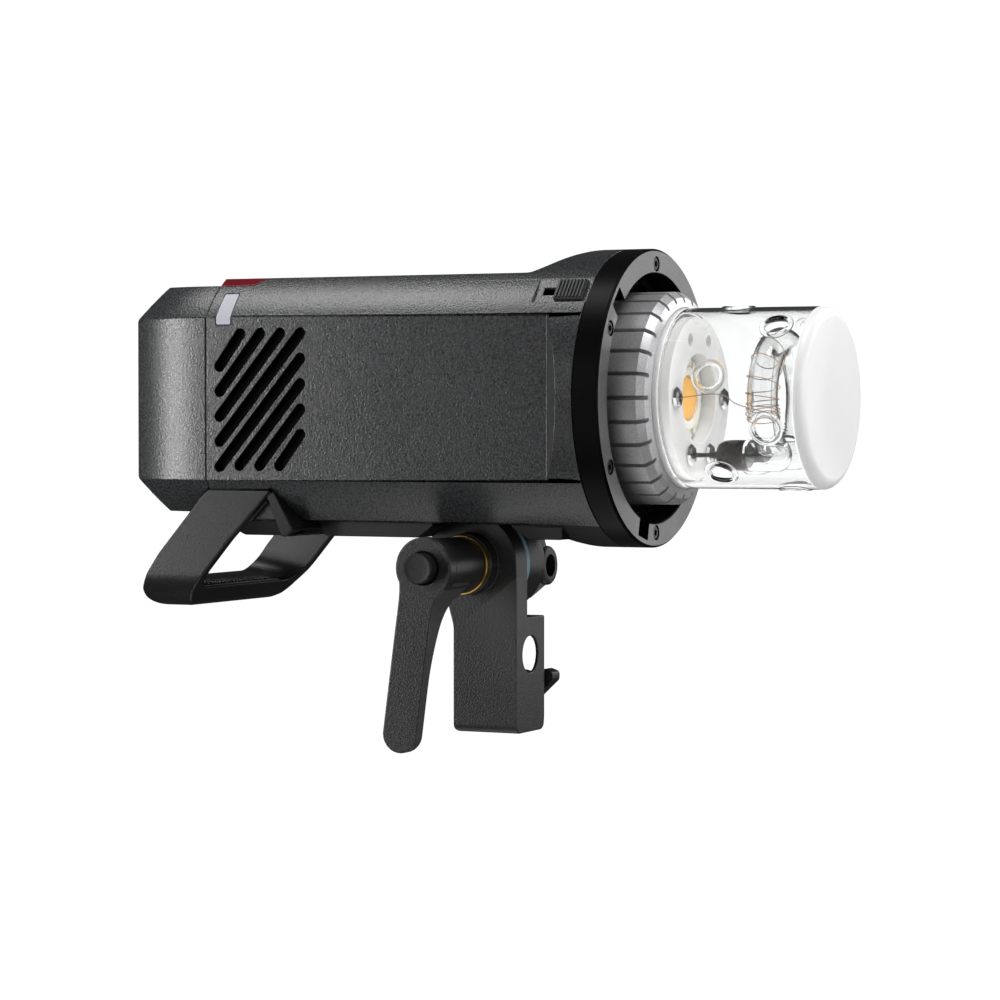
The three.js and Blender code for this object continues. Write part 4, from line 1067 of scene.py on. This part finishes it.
def handle_frame():
    """Strap handle: straps that bend into the grip bar, and the saddle on the body."""
    arm = rounded(ARM, ARM_CORNERS, 5)
    strap = overlap(prism("x", arm, -HANDLE_X, HANDLE_X),
                    prism("y", trough(HANDLE_X, HANDLE_BOTTOM_Z, HANDLE_CORNER, 0), 150, 240))
    opening = moved(prism("y", trough(HANDLE_X - 5, 0, 11, 90), -80, 60),
                    Matrix.Translation((0, *BAR_TOP)) @ Matrix.Rotation(BAR_SLOPE, 4, "X"))
    side = [(196, -39.9), (163.9, -40.2), (153.6, -58), (157, RAIL_Z), (186.3, RAIL_Z), (196, -52)]
    saddle = overlap(prism("y", section(6.5, 61.5), 150, SEAM_Y - 0.5),
                     prism("x", side, -HANDLE_X + 4.5, HANDLE_X - 4.5))
    leg = [(163.9, -40.2), (167.5, -42.5), (159.8, RAIL_Z), (157, RAIL_Z), (153.6, -58)]
    legs = [prism("x", leg, *ends) for ends in ((-HANDLE_X + 0.8, -40), (40, HANDLE_X - 0.8))]
    rail = [(92, -50), (92, RAIL_Z - GAP), (147.3, RAIL_Z - GAP), (152.4, -50)]
    return cut(join(saddle, cut(strap, opening), *legs), prism("y", section(GAP), 100, 205),
               prism("x", rail, -RAIL_HALF_X - 0.5, RAIL_HALF_X + 0.5),
               prism("x", [(209, -86.9), (224, -84.4), (224, -70), (209, -70)], -36, 36))


def handle_grip():
    """Grip insert with slanted ribs."""
    outline = [(209.3, -86.5), (223.7, -84.1), (223.7, -82.6), (209.3, -85.0)]
    body = prism("x", rounded(outline, 0.4), -35.7, 35.7)
    ribs = []
    for i in range(20):
        x = -33.5 + i * 3.25
        line = [(x, 210.3, -84.6), (x + 0.6, 214, -83.9), (x + 2.0, 218.5, -83.15), (x + 4.2, 222.6, -82.55)]
        ribs.append(sweep(spline(line, 4), 0.65, 8))
    return join(body, *ribs)


def handle_paint(face):
    """The saddle's front legs get the near-black material, as painted shade beside the body."""
    centre = face.center
    return 1 if centre.y < 166 and centre.z < -43 and abs(centre.x) > 39 else 0


piece("handle", handle_frame(), [HANDLE, SHADE_BLACK], "head", "handle_frame", 0.8, 3, 28,
      handle_paint)
piece("grip", handle_grip(), BLACK, "head", "handle_grip", 0.15, 2, 40)


# ---- carried-over inner nodes
INNER = {
    "front_bulkhead": RING_RIM, "main_board": BOARD, "power_board": BOARD, "trigger_transformer": WRAP,
    "fan_frame": BLACK, "fan_rotor": BLACK, **{f"flash_capacitor_{n}": SLEEVE for n in (1, 2, 3)},
}
for name, material in INNER.items():
    materials = frame["nodes"][name].data.materials
    materials.clear()
    materials.append(material)


# ---- floor, light and camera
def floor():
    """Pale, glowing floor that neither lights the strobe nor shows in its reflections."""
    mesh = bpy.data.meshes.new("floor")
    mesh.from_pydata([(-4, -4, -0.5), (4, -4, -0.5), (4, 4, -0.5), (-4, 4, -0.5)], [], [(0, 1, 2, 3)])
    material = bpy.data.materials.new("pale_floor")
    material.use_nodes = True
    shader = material.node_tree.nodes["Principled BSDF"]
    shader.inputs["Base Color"].default_value = (0.9, 0.9, 0.9, 1)
    shader.inputs["Roughness"].default_value = 0.9
    shader.inputs["Emission Color"].default_value = (1, 1, 1, 1)
    shader.inputs["Emission Strength"].default_value = 1.0
    mesh.materials.append(material)
    obj = placed("floor", mesh)
    obj.visible_diffuse = False
    obj.visible_glossy = False


def softbox(name, place, aim, width, height, power):
    """Soft light in metres and watts that the eye sees neither directly nor through glass."""
    light = bpy.data.lights.new(name, "AREA")
    light.shape = "RECTANGLE"
    light.size = width
    light.size_y = height
    light.energy = power
    obj = placed(name, light)
    obj.location = place
    obj.rotation_euler = (Vector(aim) - Vector(place)).to_track_quat("-Z", "Y").to_euler()
    obj.visible_camera = False
    obj.visible_transmission = False


def world():
    """White backdrop to the eye and through glass; a dim, even room to all else."""
    made = bpy.data.worlds.new("studio")
    bpy.context.scene.world = made
    made.use_nodes = True
    nodes, links = made.node_tree.nodes, made.node_tree.links
    nodes.clear()
    rays = nodes.new("ShaderNodeLightPath")

    def reckoned(operation, one, two):
        node = nodes.new("ShaderNodeMath")
        node.operation = operation
        for socket, value in zip(node.inputs, (one, two)):
            if isinstance(value, float):
                socket.default_value = value
            else:
                links.new(value, socket)
        return node.outputs[0]

    def background(strength):
        node = nodes.new("ShaderNodeBackground")
        node.inputs["Color"].default_value = (1, 1, 1, 1)
        node.inputs["Strength"].default_value = strength
        return node.outputs[0]

    bounces = reckoned("ADD", rays.outputs["Diffuse Depth"], rays.outputs["Glossy Depth"])
    through = reckoned("MULTIPLY", rays.outputs["Is Transmission Ray"], reckoned("LESS_THAN", bounces, 0.5))
    seen = reckoned("MAXIMUM", rays.outputs["Is Camera Ray"], through)
    mix = nodes.new("ShaderNodeMixShader")
    for socket, value in zip(mix.inputs, (seen, background(0.05), background(1.05))):
        links.new(value, socket)
    out = nodes.new("ShaderNodeOutputWorld")
    links.new(mix.outputs[0], out.inputs["Surface"])


def camera():
    data = bpy.data.cameras.new("camera")
    data.sensor_width = 36
    data.lens = 113.877
    obj = placed("camera", data)
    forward = Vector((0.90414, 0.42647, -0.0258)).normalized()
    right = Vector((0.42661, -0.90444, 0)).normalized()
    up = right.cross(forward)
    turn = Matrix((right, up, -forward)).transposed().to_4x4()
    obj.matrix_world = Matrix.Translation((-1.28428, -0.60624, 0.14027)) @ turn
    bpy.context.scene.camera = obj


floor()
world()
camera()
bpy.context.scene.view_settings.view_transform = "Standard"
softbox("top_box", (-0.10, 0.50, 1.12), (-0.04, 0.04, 0.19), 0.36, 0.36, 3.1)
softbox("front_top_box", (-0.1, -0.5, 1.1), (0, -0.05, 0.15), 0.5, 0.5, 6.8)
softbox("rear_strip", (-0.725, 0.755, 0.16), (-0.05, 0.14, 0.15), 0.08, 0.9, 9)
softbox("front_right_box", (0.95, -0.62, 0.62), (0, -0.1, 0.15), 0.4, 0.4, 3.6)
softbox("front_mid_box", (1.0, -0.55, 0.15), (0, -0.1, 0.15), 0.5, 0.5, 0.85)
softbox("front_box", (0.1, -1.3, 0.3), (0, -0.1, 0.15), 0.7, 0.7, 7)
softbox("left_box", (-1.3, 0.15, 0.55), (0, 0.05, 0.15), 0.5, 0.5, 1.0)
softbox("front_left_box", (-0.75, -1.0, -0.12), (0, 0.1, 0.06), 0.8, 0.8, 1.0)
softbox("low_left_box", (-1.0, -0.1, -0.5), (0, 0.01, 0.1), 0.7, 0.7, 2.7)
softbox("below_box", (0, 0, -0.7), (0, 0.01, 0.1), 0.9, 0.9, 2.6)
